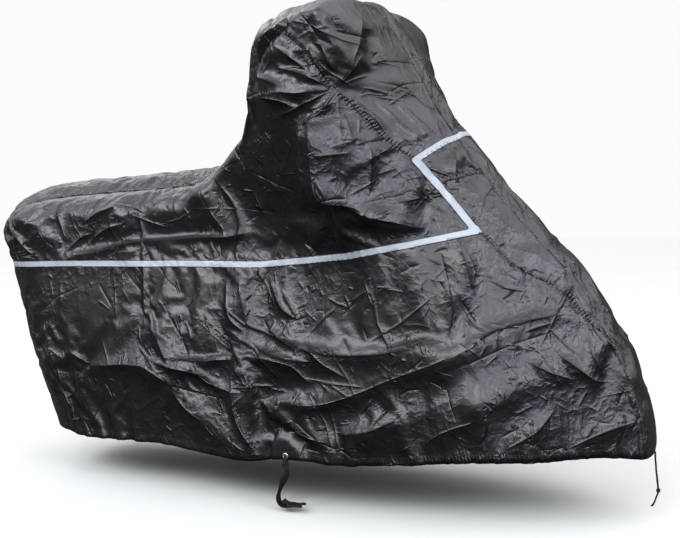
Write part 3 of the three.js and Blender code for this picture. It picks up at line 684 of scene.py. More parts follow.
# Half width of the draped side at these heights, one row for each station along it
widthHeights = [-80, -270, -450, -600, -715, -950, -1220]
widths = {
    -1200: (190, 190, 190, 190, 200, 210, 205),
    -950: (195, 195, 195, 200, 214, 240, 220),
    -650: (205, 205, 205, 204, 224, 263, 248),
    -400: (215, 215, 208, 200, 220, 271, 268),
    -240: (250, 250, 225, 192, 212, 266, 288),
    -110: (345, 335, 282, 226, 214, 268, 290),
    40: (378, 362, 325, 288, 238, 272, 288),
    130: (374, 350, 324, 292, 258, 272, 284),
    230: (340, 310, 290, 264, 260, 272, 278),
    360: (290, 262, 250, 250, 254, 264, 264),
    500: (200, 200, 200, 206, 226, 246, 246),
    650: (150, 150, 150, 160, 180, 206, 206),
    800: (110, 110, 110, 110, 120, 130, 130),
}
# The dome leans: a rise for each millimetre to the left, growing between these heights
domeLean = {"rise": 0.056, "from": -620, "full": -120}
# How far from each seam the side takes to reach its full width, as a share of the grid
topReach = [(0, 0.11), (0.44, 0.11), (0.6, 0.07), (1, 0.052)]
tailReach = 0.115
noseReach = [(0, 0.2), (0.4, 0.26), (0.75, 0.17), (1, 0.05)]
noseRounding = 1.7
gridCells = {"along": 356, "up": 140, "strip": 26}

# Main folds: rise, tail or lower width, nose or upper width, from x, z to x, z
sharedFolds = [
    (36, 26, 95, -2, -350, -16, -535), (22, 28, 52, -16, -540, 236, -616),
]
rightFolds = sharedFolds + [
    (12, 40, 36, -1085, -560, -860, -700), (-10, 26, 34, -900, -678, -365, -624),
    (9, 40, 40, -709, -520, -622, -712), (15, 42, 38, -435, -480, -283, -640),
    (13, 44, 40, -283, -640, -210, -1190), (11, 40, 34, -547, -900, -385, -1018),
    (15, 46, 38, -572, -1000, -241, -1215), (8, 34, 34, -765, -1024, -385, -1018),
    (9, 40, 36, -213, -980, 392, -908), (8, 50, 42, -60, -1062, 297, -961),
    (9, 52, 40, 297, -961, 650, -850), (14, 48, 44, 64, -1165, 466, -1021),
    (12, 44, 38, 466, -1021, 690, -915), (10, 36, 32, 579, -924, 700, -1030),
    (11, 34, 34, 346, -650, 357, -800), (9, 34, 34, 248, -660, 259, -800),
    (12, 34, 34, -130, -250, 60, -272), (-8, 30, 30, -34, -283, 75, -267),
    (13, 34, 44, 84, -68, 108, -210), (9, 30, 34, 224, -262, 262, -392),
]
leftFolds = sharedFolds + [
    (11, 38, 36, -960, -600, -760, -700), (14, 44, 40, -480, -500, -330, -700),
    (12, 46, 42, -330, -700, -260, -1180), (12, 44, 38, -700, -860, -420, -1060),
    (12, 46, 42, -120, -1010, 330, -930), (13, 46, 40, 330, -930, 640, -850),
    (13, 46, 42, 100, -1150, 520, -1010), (10, 36, 36, 300, -660, 320, -810),
    (12, 34, 42, 80, -70, 104, -220),
]


def seamCurve(rows):
    rows = np.asarray(rows, float)
    steps = 40
    line = smoothPath(rows[:, :2], steps)
    share = runLengths(line)
    share /= share[-1]
    index = np.arange(len(line)) / steps
    half, crown = (np.interp(index, np.arange(len(rows)), rows[:, k]) for k in (2, 3))
    return lambda at: [np.interp(at, share, values) for values in (line[:, 0], line[:, 1], half, crown)]


tailAt, topAt, noseAt = (seamCurve(rows) for rows in (tailSeam, topSeam, noseSeam))


def inTable(rows, position):
    # The second column of the rows at this place in the first
    return lookUp([row[0] for row in rows], [row[1] for row in rows], position)


def hemHeight(x):
    return inTable(hemLine, x)


def drapedHalfWidth(x, z):
    atHeight = [lookUp(widthHeights, row, z) for row in widths.values()]
    return lookUp(list(widths), atHeight, x)


def spreadAlong(t):
    # The grid's columns lie closer together near the tail and the nose
    return t - 0.055 * np.sin(2 * np.pi * t) - 0.012 * np.sin(4 * np.pi * t)


def spreadUp(t):
    # Its rows lie closer together near the top
    return np.sin(t * np.pi * 0.5) ** 0.94 * 0.55 + t * 0.45


def quarterTurn(share):
    inside = 1 - np.clip(share, 0, 1)
    return np.sqrt(1 - inside * inside)


def foldHeight(x, z, folds):
    height = np.zeros_like(x)
    for rise, back, front, x1, z1, x2, z2 in folds:
        runX, runZ = x2 - x1, z2 - z1
        length = math.hypot(runX, runZ)
        along = ((x - x1) * runX + (z - z1) * runZ) / length
        across = ((x - x1) * runZ - (z - z1) * runX) / length
        width = np.where(across > 0, back, front)
        begun = smoothstep(-0.2 * length, 0.2 * length, along)
        ended = smoothstep(0.8 * length, 1.2 * length, along)
        height += rise * (begun * (1 - ended)) * bell(across, width)
    return height


def drapePoints(p, q, side, folds):
    # One side of the drape, p from tail to nose and q from hem to top seam
    tail, nose, top = tailAt(q), noseAt(q), topAt(p)
    hemX = tailSeam[0][0] + (noseSeam[0][0] - tailSeam[0][0]) * p
    foot = [hemX, hemHeight(hemX), np.full_like(p, tailSeam[0][2])]
    blended = []
    for k in range(3):
        corners = (
            (1 - p) * (1 - q) * tailSeam[0][k] + p * (1 - q) * noseSeam[0][k]
            + (1 - p) * q * topSeam[0][k] + p * q * topSeam[-1][k]
        )
        blended.append((1 - p) * tail[k] + p * nose[k] + (1 - q) * foot[k] + q * top[k] - corners)
    x, z, edge = blended
    nosePart = np.clip((1 - p) / inTable(noseReach, q), 0, 1)
    topPart = (1 - q) / inTable(topReach, p)
    fullness = quarterTurn(topPart) * quarterTurn(p / tailReach) * (1 - (1 - nosePart) ** noseRounding)
    fold = foldHeight(x, z, folds) * smoothstep(0.05, 0.9, fullness)
    y = edge + (drapedHalfWidth(x, z) - edge) * fullness + fold
    lean = domeLean["rise"] * (y - edge) * smoothstep(domeLean["from"], domeLean["full"], z)
    return np.stack([x, side * y, z + side * lean], -1)


def gridNormals(points, outward):
    normals = np.cross(np.gradient(points, axis=0), np.gradient(points, axis=1)) * outward
    return normals / np.maximum(np.linalg.norm(normals, axis=2), 1e-9)[..., None]


def gridLengths(points, axis):
    steps = np.linalg.norm(np.diff(points, axis=axis), axis=2)
    start = np.zeros_like(steps[:1] if axis == 0 else steps[:, :1])
    return np.concatenate([start, np.cumsum(steps, axis)], axis)


alongStops = spreadAlong(np.linspace(0, 1, gridCells["along"] + 1))
upStops = spreadUp(np.linspace(0, 1, gridCells["up"] + 1))
gridP, gridQ = np.meshgrid(alongStops, upStops, indexing="ij")
lastColumn, lastRow = gridCells["along"], gridCells["up"]

# The strip's stations run up the tail, over the top and down the nose
stripStations = np.concatenate([
    np.stack(tailAt(upStops), -1), np.stack(topAt(alongStops[1:-1]), -1),
    np.stack(noseAt(upStops[::-1]), -1),
])
tailStations = slice(0, lastRow + 1)
topStations = slice(lastRow, lastRow + lastColumn + 1)
noseStations = slice(lastRow + lastColumn, None)


def stripPoints(stations, cells):
    along = np.gradient(stations[:, :2], axis=0)
    out = np.stack([-along[:, 1], along[:, 0]], -1)
    out /= np.linalg.norm(out, axis=1)[:, None]
    across = np.linspace(-1, 1, cells + 1)
    rise = stations[:, 3:4] * (1 - across**2)
    return np.stack([
        stations[:, :1] + out[:, :1] * rise, across * stations[:, 2:3],
        stations[:, 1:2] + out[:, 1:] * rise,
    ], -1)


base = {
    "right": drapePoints(gridP, gridQ, -1, rightFolds),
    "left": drapePoints(gridP, gridQ, 1, leftFolds),
    "strip": stripPoints(stripStations, gridCells["strip"]),
}
# Which way round each grid runs, seen from outside
outward = {"right": 1, "left": -1, "strip": 1}
normals = {name: gridNormals(base[name], way) for name, way in outward.items()}
# Cloths that meet at a seam share its normals
for name, column in (("right", 0), ("left", -1)):
    sideNormals, stripEdge = normals[name], normals["strip"][:, column]
    chain = np.concatenate([sideNormals[0], sideNormals[1:-1, -1], sideNormals[-1, ::-1]])
    chain = chain + stripEdge
    chain /= np.linalg.norm(chain, axis=1)[:, None]
    normals["strip"][:, column] = chain
    sideNormals[0] = chain[tailStations]
    sideNormals[:, -1] = chain[topStations]
    sideNormals[-1] = chain[noseStations][::-1]
print("drape laid out")


# Creases, drawn where the camera sees them. Each has its rise in millimetres, its width
# on the left and on the right of the way it is drawn, then its points in the picture.

creases = [
    # dome
    (13, 30, 5, (290, 15), (281, 25), (268, 36), (262, 49), (258, 66)),
    (-11, 6, 9, (297, 11), (287, 26), (274, 40), (265, 55), (260, 72)),
    (-5, 8, 8, (296, 14), (288, 29)),
    (3, 8, 9, (361, 8), (362, 22), (358, 43), (352, 60), (351, 70)),
    (5, 9, 9, (319, 36), (334, 70)),
    (5, 9, 8, (307, 42), (330, 84)),
    (7, 10, 14, (255, 73), (276, 84), (286, 90)),
    (7, 9, 14, (258, 97), (281, 98), (296, 107), (303, 105)),
    (6, 8, 12, (310, 121), (324, 105), (334, 87)),
    (4, 9, 9, (275, 45), (296, 60), (312, 75)),
    (-4, 7, 7, (340, 58), (336, 80)),
    (2.4, 4, 6, (371, 97), (396, 119), (424, 141)),
    (2.2, 4, 6, (384, 92), (412, 118), (437, 146)),
    (2, 4, 5, (366, 110), (390, 134)),
    (2, 4, 5, (399, 101), (420, 122), (441, 137)),
    (5, 8, 8, (333, 88), (306, 76), (276, 66)),
    (4, 7, 8, (333, 89), (303, 92), (270, 91)),
    (5, 7, 8, (333, 90), (304, 104), (276, 118)),
    (4, 7, 7, (335, 91), (318, 116), (305, 132)),
    (4, 7, 7, (337, 92), (338, 118), (341, 140)),
    (4, 7, 7, (338, 87), (350, 70), (364, 52)),
    (3, 6, 6, (340, 86), (352, 80), (372, 74)),
    (4, 7, 7, (346, 92), (366, 112), (392, 142)),
    # under the dome, where the cloth turns in along a sharp edge
    (21, 70, 7, (297, 119), (310, 126), (313, 152), (316, 174), (320, 192), (330, 200), (354, 208),
     (368, 216)),
    (17, 50, 6, (345, 206), (366, 216), (391, 222), (413, 227), (428, 228)),
    (4, 10, 10, (270, 182), (284, 193)),
    (5, 10, 14, (254, 192), (267, 217)),
    (6, 10, 10, (340, 109), (354, 145)),
    (4, 8, 12, (314, 155), (351, 153)),
    (4, 8, 8, (354, 145), (369, 142)),
    (7, 8, 11, (369, 141), (370, 182), (367, 200)),
    (6, 8, 11, (399, 166), (412, 172), (420, 192), (437, 201)),
    (4, 8, 8, (378, 193), (389, 208)),
    (5, 8, 9, (391, 206), (421, 198)),
    (4, 8, 8, (377, 174), (399, 168)),
    (4, 9, 9, (319, 179), (329, 196)),
    (5, 8, 10, (365, 220), (391, 211)),
    (4, 9, 9, (428, 164), (450, 176)),
    (4, 9, 9, (458, 144), (456, 185)),
    (3, 7, 7, (448, 190), (461, 188)),
    # rear
    (7, 18, 10, (10, 218), (22, 238), (30, 251), (40, 258)),
    (5, 9, 12, (63, 255), (73, 246), (83, 236), (93, 233)),
    (5.5, 7, 10, (63, 256), (99, 253), (123, 246), (143, 243), (166, 242), (196, 239), (232, 235),
     (259, 231)),
    (2.8, 7, 8, (143, 197), (144, 260), (143, 328)),
    (2.8, 7, 8, (187, 182), (187, 241)),
    (7, 15, 12, (217, 180), (237, 208), (235, 260)),
    (4, 9, 9, (202, 205), (199, 238)),
    (2.8, 7, 7, (61, 280), (61, 308)),
    (3, 6, 8, (30, 217), (46, 206), (62, 199)),
    (3.5, 6, 7, (62, 200), (61, 222), (66, 240)),
    (4, 7, 8, (82, 224), (98, 213), (121, 205)),
    (3.5, 6, 6, (121, 206), (112, 226), (118, 243)),
    (3, 6, 6, (86, 246), (104, 230), (128, 222)),
    (4, 6, 9, (195, 182), (207, 206), (226, 232)),
    # lower rear
    (5, 10, 9, (149, 323), (159, 338), (169, 365)),
    (4, 9, 9, (73, 350), (90, 363)),
    (9, 26, 8, (90, 365), (143, 366), (156, 374), (166, 381), (175, 390)),
    (8, 24, 7, (171, 393), (199, 416), (206, 423)),
    (6, 12, 9, (144, 361), (197, 371), (214, 383), (224, 401)),
    (5, 9, 10, (167, 353), (186, 359), (232, 358)),
    (6, 10, 9, (186, 361), (207, 379), (229, 389), (247, 390)),
    (8, 14, 12, (231, 360), (234, 386), (239, 419), (256, 456)),
    (5, 8, 8, (234, 360), (249, 389)),
    (5, 9, 8, (245, 363), (251, 423)),
    (6, 10, 9, (225, 280), (232, 318), (245, 330)),
    (5, 8, 8, (239, 280), (247, 330)),
    (4, 8, 8, (138, 433), (146, 442)),
    # middle
    (6, 9, 9, (270, 280), (283, 308), (300, 320)),
    (4, 8, 8, (281, 287), (301, 325)),
    (6, 10, 10, (250, 335), (263, 350), (286, 358), (319, 361)),
    (5, 9, 8, (270, 328), (300, 351)),
    (7, 12, 24, (265, 321), (293, 345), (319, 353), (351, 355), (386, 353), (444, 340)),
    (6, 10, 9, (306, 346), (336, 370), (348, 378)),
    (4, 8, 8, (343, 335), (353, 355)),
    (6, 10, 9, (243, 355), (278, 360), (295, 365), (306, 378), (319, 383)),
    (4, 20, 12, (280, 401), (306, 403), (336, 398), (369, 388), (402, 374), (436, 361), (479, 346)),
    (5, 10, 10, (291, 426), (306, 434), (330, 441)),
    (7, 12, 14, (336, 433), (361, 432), (386, 423), (402, 413)),
    (6, 12, 12, (419, 447), (442, 429), (479, 418)),
    (3, 7, 7, (421, 280), (421, 292)),
    (6, 9, 8, (449, 280), (452, 295), (449, 338)),
    (-6, 8, 8, (457, 295), (479, 328)),
    (5, 8, 8, (462, 318), (465, 343)),
    # front
    (-5, 8, 8, (440, 250), (451, 293)),
    (6, 10, 9, (457, 238), (468, 275), (476, 299)),
    (-5, 8, 8, (455, 296), (476, 326), (486, 329)),
    (4, 8, 8, (461, 318), (483, 334)),
    (6, 12, 20, (440, 362), (465, 351), (490, 334), (514, 326), (539, 319), (576, 313)),
    (-2, 12, 10, (440, 374), (473, 362), (514, 344), (548, 333), (576, 319)),
    (6, 10, 12, (526, 240), (562, 265), (571, 268)),
    (5, 9, 9, (500, 220), (518, 232)),
    (-6, 7, 8, (533, 270), (546, 274), (571, 275), (581, 280)),
    (6, 9, 10, (556, 306), (569, 286)),
    (5, 9, 9, (569, 286), (594, 293)),
    (5, 8, 9, (589, 318), (601, 316), (614, 321)),
    (6, 10, 10, (584, 336), (591, 361), (606, 379)),
    (6, 10, 9, (551, 349), (572, 366), (594, 381), (614, 382)),
    (5, 9, 9, (523, 360), (548, 372), (577, 381)),
    (7, 16, 14, (556, 407), (539, 427), (519, 440), (501, 450)),
    (6, 14, 12, (564, 450), (597, 434), (639, 420)),
]

# What a drawn crease grows by: ridges, dips and both its widths. A short one is lower.
drawnGrowth = {"ridge": 1.7, "dip": 0.8, "width": 1.6, "fullLength": 150, "leastShare": 0.35}
# On the far side they are lower and softer, moved along and down, and every third is missing
farGrowth = {"rise": 0.75, "width": 1.2, "stretch": (0.97, 1.0), "move": (34, -14), "without": 3}

# Small creases all over: rise, length, width and the far edge's share of it, then how
# their lean spreads, how they bow, and how many run crosswise or are dips
smallCreases = {
    "right": {"count": 330, "seed": 11, "rise": (0.3, 2.0)},
    "left": {"count": 280, "seed": 23, "rise": (0.3, 1.8)},
    "length": (22, 105), "width": (4, 10), "farEdge": (0.7, 1.7),
    "leanSpread": 32, "bow": 0.22, "crosswise": 0.3, "dips": 0.4,
}
stripCreases = {
    "count": 230, "across": 200, "length": (12, 50), "rise": (0.6, 3.0), "width": (4, 10),
    "farEdge": (0.8, 1.6),
}
# The part of the side view that they are scattered over, and their lean at each x
sideArea = ((-1150, 780), (-1225, -40))
leanStops = {"x": [-1150, -300, 200, 800], "degrees": [-75, -60, 20, 50]}
# Smoother cloth in front and low down: middle, half size, share of the small creases
smoothAreas = [
    (490, -900, 190, 130, 0.25), (520, -640, 130, 120, 0.4), (75, -960, 200, 80, 0.4),
    (-700, -575, 330, 60, 0.5),
]
longLines = {"count": 170, "length": (50, 260), "shown": (0.3, 0.95)}
shortLines = {"count": 850, "length": (12, 65), "shown": (0.2, 0.8)}
fineLines = {
    "sets": [longLines, longLines, shortLines, shortLines],
    "near": 6.0, "far": 13.0, "patch": 140.0, "patchSeed": 61,
    "leanSpread": 28, "bow": 0.1, "crosswise": 0.3,
}


def gridFaces(columns, rows):
    i, j = np.meshgrid(np.arange(columns - 1), np.arange(rows - 1), indexing="ij")
    a = (i * rows + j).ravel()
    return np.stack([a, a + rows, a + rows + 1, a + 1], -1)


def treeOf(points, faces):
    return BVHTree.FromPolygons([tuple(point) for point in points], [tuple(face) for face in faces])


def gridTree(points):
    return treeOf(points.reshape(-1, 3).tolist(), gridFaces(*points.shape[:2]).tolist())


rightTree = gridTree(base["right"][::4, ::4])


def seenAt(column, row):
    # The x and z of the right side's point behind this place in the picture
    right, top, forward = cameraAxes(cameraSetup)
    width, height = cameraSetup["imageSize"]
    ray = (
        forward + right * ((column - width / 2) / cameraSetup["focalPixels"])
        - top * ((row - height / 2) / cameraSetup["focalPixels"])
    )
    start = Vector(cameraSetup["place"]) / mm - Vector((0, 0, carryDepth))
    hit = rightTree.ray_cast(start, ray.normalized())[0]
    return None if hit is None else (hit.x, hit.z)


def fromLine(x, z, line):
    # Distance to a line in the side view, positive on its left, and the length along it
    line = np.asarray(line, float)
    best = np.full(x.shape, 1e9)
    signed, along = np.zeros_like(x), np.zeros_like(x)
    for (x1, z1), (x2, z2), before in zip(line, line[1:], runLengths(line)):
        runX, runZ = x2 - x1, z2 - z1
        length = math.hypot(runX, runZ)
        share = np.clip(((x - x1) * runX + (z - z1) * runZ) / length**2, 0, 1)
        distance = np.hypot(x - x1 - share * runX, z - z1 - share * runZ)
        closer = distance < best
        turn = runX * (z - z1) - runZ * (x - x1)
        best = np.where(closer, distance, best)
        signed = np.where(closer, np.where(turn > 0, distance, -distance), signed)
        along = np.where(closer, before + share * length, along)
    return signed, along


def aroundLine(x, z, line, reach):
    # The points of the box that holds the line and this reach around it
    low, high = line.min(0) - reach, line.max(0) + reach
    return (x > low[0]) & (x < high[0]) & (z > low[1]) & (z < high[1])


def creaseHeight(x, z, rise, leftWidth, rightWidth, stops):
    # A ridge with a rounded edge along the stops, which dies away at both ends
    stops = np.asarray(stops, float)
    near = aroundLine(x, z, stops, 3.0 * max(leftWidth, rightWidth))
    away, along = fromLine(x[near], z[near], stops)
    total, longestTaper = runLengths(stops)[-1], 110
    taper = min(0.45 * total, longestTaper)
    begun = smoothstep(-0.1 * taper, taper, along)
    ended = smoothstep(total - taper, total + 0.1 * taper, along)
    fade = begun * (1 - ended)
    width = np.where(away > 0, leftWidth, rightWidth) * (0.35 + 0.65 * fade)
    softness = 0.28 * np.minimum(leftWidth, rightWidth)
    profile = np.exp(-(np.sqrt(away**2 + softness**2) - softness) / (0.8 * width))
    height = np.zeros_like(x)
    height[near] = rise * profile * fade
    return height


def drawnCreases(growth):
    drawn = []
    for rise, leftWidth, rightWidth, *marks in creases:
        rise *= growth["ridge" if rise > 0 else "dip"]
        stops = [seenAt(*mark) for mark in marks]
        stops = [stop for stop in stops if stop is not None]
        if len(stops) > 1:
            path = smoothPath(stops, 3)
            rise *= np.clip(runLengths(path)[-1] / growth["fullLength"], growth["leastShare"], 1.0)
            drawn.append((rise, growth["width"] * leftWidth, growth["width"] * rightWidth, path))
    return drawn


def farCreases(drawn, growth):
    kept = [crease for n, crease in enumerate(drawn) if n % growth["without"]]
    return [
        (
            growth["rise"] * rise, growth["width"] * leftWidth, growth["width"] * rightWidth,
            stops * growth["stretch"] + growth["move"],
        )
        for rise, leftWidth, rightWidth, stops in kept
    ]


def smoothShare(x, z):
    share = np.ones_like(x)
    for middleX, middleZ, halfX, halfZ, kept in smoothAreas:
        away = np.hypot((x - middleX) / halfX, (z - middleZ) / halfZ)
        share *= kept + (1 - kept) * smoothstep(0.6, 1.3, away)
    return share


def tensionLean(x):
    # Tension runs down to the hem at the back and up towards the nose in front
    return np.interp(x, leanStops["x"], leanStops["degrees"])


def scatteredCreases(count, seed, rise):
    rng = np.random.default_rng(seed)
    low, high = rise
    scattered = []
    for _ in range(count):
        middle = np.array([rng.uniform(*sideArea[0]), rng.uniform(*sideArea[1])])
        lean = tensionLean(middle[0]) + rng.normal(0, smallCreases["leanSpread"])
        if rng.random() < smallCreases["crosswise"]:
            lean += 90
        length, lean = rng.uniform(*smallCreases["length"]), math.radians(lean)
        step = np.array([math.cos(lean), math.sin(lean)]) * length / 2
        bow = np.array([-step[1], step[0]]) * rng.normal(0, smallCreases["bow"])
        lift = low + (high - low) * rng.random() ** 1.6
        if rng.random() < smallCreases["dips"]:
            lift = -lift
        width = rng.uniform(*smallCreases["width"])
        farWidth = width * rng.uniform(*smallCreases["farEdge"])
        scattered.append((lift, width, farWidth, [middle - step, middle + bow, middle + step]))
    return scattered


def scatteredLines(rng, setup, across, up, leanAt):
    # Fine crease lines for the shading, in patches: how much each shows, then its points
    (shortest, longest), (least, most) = setup["length"], setup["shown"]
    patch, seed, lines = fineLines["patch"], fineLines["patchSeed"], []
    for _ in range(setup["count"]):
        middle = np.array([rng.uniform(*across), rng.uniform(*up)])
        crowd = (
            smoothNoise(middle[0] + 0.6 * middle[1], patch, seed)
            + smoothNoise(middle[1] - 0.5 * middle[0], patch, seed + 1)
        )
        lean = leanAt(middle[0]) + rng.normal(0, fineLines["leanSpread"])
        lean = math.radians(lean + (90 if rng.random() < fineLines["crosswise"] else 0))
        length = shortest + (longest - shortest) * rng.random() ** 2
        step = np.array([math.cos(lean), math.sin(lean)]) * length / 2
        bow = np.array([-step[1], step[0]]) * rng.normal(0, fineLines["bow"])
        share = (least + (most - least) * rng.random() ** 1.5) * rng.choice([1, 1, -1])
        if rng.random() < 0.55 + 0.6 * crowd:
            lines.append((share, np.array([middle - step, middle + bow, middle + step])))
    return lines


def lineFields(x, z, lines):
    # Distance from the nearest line, positive on its left, and how much that line shows
    away, shown = np.full(x.shape, 40.0), np.zeros(x.shape)
    for share, stops in lines:
        near = aroundLine(x, z, stops, fineLines["far"] + 2)
        signed, along = fromLine(x[near], z[near], stops)
        total = runLengths(stops)[-1]
        fade = smoothstep(0, 0.3 * total, along) * (1 - smoothstep(0.7 * total, total, along))
        part = share * fade * (1 - smoothstep(fineLines["near"], fineLines["far"], np.abs(signed)))
        closer = np.abs(signed) < np.abs(away[near])
        away[near] = np.where(closer, signed, away[near])
        shown[near] = np.where(closer, part, shown[near])
    return away, shown


# The shirred seam, with the cloth drawn in by elastic, and the sewn edges

shirring = {
    "line": [
        (-330, 60), (-190, -36), (-51, -126), (21, -183), (75, -267), (121, -330), (170, -392),
        (237, -448), (391, -627), (479, -718), (523, -743), (567, -764), (612, -802), (650, -852),
        (696, -896), (760, -950),
    ],
    "valley": 1.8, "valleyWidth": 5.0,
    "pucker": 2.4, "puckerReach": 12.0, "puckerStep": 7.0, "puckerCalm": 2.5,
    "gatherPoint": (75, -267), "gatherRise": 6.5, "gatherReach": 85.0, "gatherRays": 17,
    "gatherFull": 22,
}
hem = {
    "height": 24.0, "rise": 1.0, "line": 1.2,
    "shirredFrom": 60.0, "shirredFull": 420.0, "shirRise": 3.4, "shirReach": 34.0, "shirStep": 8.5,
    "plainRise": 0.9, "grooveWidth": 3.0, "dip": 0.55, "dipWidth": 7.0,
}
sewnEdges = {
    "valley": 1.4, "pucker": 1.5, "reach": 12.0, "step": 8.0, "ridge": 1.0, "ridgeAt": 11.0,
    "width": 4.0, "seed": 71,
}
eyeletX = -103.0
eyeletZ = float(hemHeight(eyeletX)) + 10.0
eyeletHole = 6.2


def shirredShare(x):
    return smoothstep(hem["shirredFrom"], hem["shirredFull"], x)


def fromEyelet(x, z):
    return np.hypot(x - eyeletX, z - eyeletZ)


def shirredSeamHeight(x, z, setup, seed):
    away, along = fromLine(x, z, setup["line"])
    away = np.abs(away)
    valley = -setup["valley"] * bell(away, setup["valleyWidth"])
    drawn = twoNoises(along, setup["puckerStep"], 0.5, 2.6, seed)
    calm = 1 - 0.6 * np.exp(-away / setup["puckerCalm"])
    puckers = setup["pucker"] * drawn * np.exp(-away / setup["puckerReach"]) * calm
    gatherX, gatherZ = setup["gatherPoint"]
    distance = np.hypot(x - gatherX, z - gatherZ)
    angle = np.arctan2(z - gatherZ, x - gatherX)
    rays = smoothNoise((angle + np.pi) * setup["gatherRays"] / (2 * np.pi), 1.0, seed + 2)
    gather = setup["gatherRise"] * rays * np.exp(-distance / setup["gatherReach"])
    return valley + puckers + gather * smoothstep(0, setup["gatherFull"], distance)


def hemRelief(x, fromHem, length, setup, seed):
    fold = setup["rise"] * (1 - smoothstep(setup["height"] - 2, setup["height"] + 2, fromHem))
    groove = -setup["line"] * bell(fromHem - setup["height"], setup["grooveWidth"])
    shirred = shirredShare(x)
    waves = twoNoises(length, setup["shirStep"], 0.6, 2.3, seed)
    reach = setup["shirReach"] * (1 + 0.5 * smoothNoise(length, 30.0, seed + 2))
    gathered = (setup["shirRise"] * shirred + setup["plainRise"] * (1 - shirred)) * waves
    dip = 1 - setup["dip"] * bell(fromHem - setup["height"], setup["dipWidth"])
    return fold + groove + gathered * np.exp(-((fromHem / reach) ** 2) * 0.7) * dip


def sewnEdgeHeight(distance, length, setup):
    # The same gathers for both cloths of a seam
    drawn = twoNoises(length, setup["step"], 0.5, 3.1, setup["seed"])
    valley = -setup["valley"] * bell(distance, setup["width"])
    ridge = setup["ridge"] * bell(distance - setup["ridgeAt"], setup["width"])
    return valley + ridge + setup["pucker"] * drawn * np.exp(-distance / setup["reach"])


# How far the tape flattens the relief and how wide, then where relief begins and is in full,
# by the distance from the eyelet and from the edges of a side and of the strip
calming = {
    "tape": 0.72, "tapeWidth": 15.0, "eyelet": (14, 60), "creases": (2, 34), "shirring": (3, 18),
    "hem": (3, 30), "strip": (2, 22), "corner": 6.0,
}


def settleSide(name, drawn, seed):
    points, out = base[name], normals[name]
    x, z = points[..., 0], points[..., 2]
    height, calmer = np.zeros_like(x), smoothShare(x, z)
    for crease in drawn:
        height += creaseHeight(x, z, *crease)
    for crease in scatteredCreases(**smallCreases[name]):
        height += creaseHeight(x, z, *crease) * calmer
    alongRow, upColumn = gridLengths(points, 0), gridLengths(points, 1)
    fromTail, fromNose = alongRow, alongRow[-1:] - alongRow
    fromTop = upColumn[:, -1:] - upColumn
    fromEnds = np.minimum(fromTail, fromNose)
    edge = np.minimum(fromEnds, fromTop)
    away, _ = fromLine(x, z, tapeLine)
    underTape = 1 - calming["tape"] * bell(away, calming["tapeWidth"])
    height *= smoothstep(*calming["creases"], edge) * underTape
    height += shirredSeamHeight(x, z, shirring, seed) * smoothstep(*calming["shirring"], edge)
    relief = hemRelief(x, upColumn, alongRow[:, :1] + 0 * x, hem, seed + 5)
    height += relief * smoothstep(*calming["hem"], fromEnds)
    height *= smoothstep(*calming["eyelet"], fromEyelet(x, z))
    stations = runLengths(base["strip"][:, 0])
    for distance, length in (
        (fromTail, stations[tailStations][None, :] + 0 * x),
        (fromTop, stations[topStations][:, None] + 0 * x),
        (fromNose, stations[noseStations][::-1][None, :] + 0 * x),
    ):
        # Near a corner both edges act, so each gives way to the nearer one
        share = np.exp(-np.maximum(distance - edge, 0) / calming["corner"])
        height += sewnEdgeHeight(distance, length, sewnEdges) * share
    return points + out * height[..., None]


def settleStrip(setup, seed):
    points, out = base["strip"], normals["strip"]
    stations = runLengths(points[:, 0])
    acrossRow = gridLengths(points, 1)
    length = stations[:, None] + 0 * acrossRow
    edge = np.minimum(acrossRow, acrossRow[:, -1:] - acrossRow)
    rng = np.random.default_rng(seed)
    height = np.zeros_like(edge)
    for _ in range(setup["count"]):
        # Small creases in the strip's own length and width
        centre = np.array([rng.uniform(0, stations[-1]), rng.uniform(0, setup["across"])])
        angle = rng.uniform(0, math.pi)
        step = np.array([math.cos(angle), math.sin(angle)]) * rng.uniform(*setup["length"])
        rise = rng.uniform(*setup["rise"]) * rng.choice([1, 1, -1])
        width = rng.uniform(*setup["width"])
        farWidth = width * rng.uniform(*setup["farEdge"])
        ends = [centre - step, centre + step]
        height += creaseHeight(length, acrossRow, rise, width, farWidth, ends)
    height *= smoothstep(*calming["strip"], edge)
    height += sewnEdgeHeight(edge, length, sewnEdges)
    return points + out * height[..., None]


tapeLine = [
    (-1320, -744), (-885, -727), (-456, -720), (-208, -719), (-85, -708), (65, -691), (241, -659),
    (385, -629), (239, -448), (300, -393), (360, -322),
]
tape = {"width": 19.0, "lift": 0.9, "thickness": 0.6 * mm}

rightDrawn = drawnCreases(drawnGrowth)
sideCreases = {"right": rightDrawn, "left": farCreases(rightDrawn, farGrowth)}
settled = {
    "right": settleSide("right", sideCreases["right"], 101),
    "left": settleSide("left", sideCreases["left"], 211),
    "strip": settleStrip(stripCreases, 307),
}


# The cloth is cut a little larger than its shape and settles under its own weight

slack = {
    "frames": 22, "extra": {"right": 0.045, "left": 0.04, "strip": 0.012}, "mostMove": 18.0,
    "hold": 0.17, "seamHold": 0.8, "seamWidth": 7.0, "tapeHold": 0.9, "tapeWidth": 11.0,
    "eyeletHold": (25, 60), "bending": 1.4, "stretch": 30.0, "weight": 0.25, "gravity": 0.14,
    # Patches that hang loose: their size, the least that any cloth moves, and between which noise
    "patch": 150.0, "least": 0.15, "patchRange": (-0.7, 0.8),
}


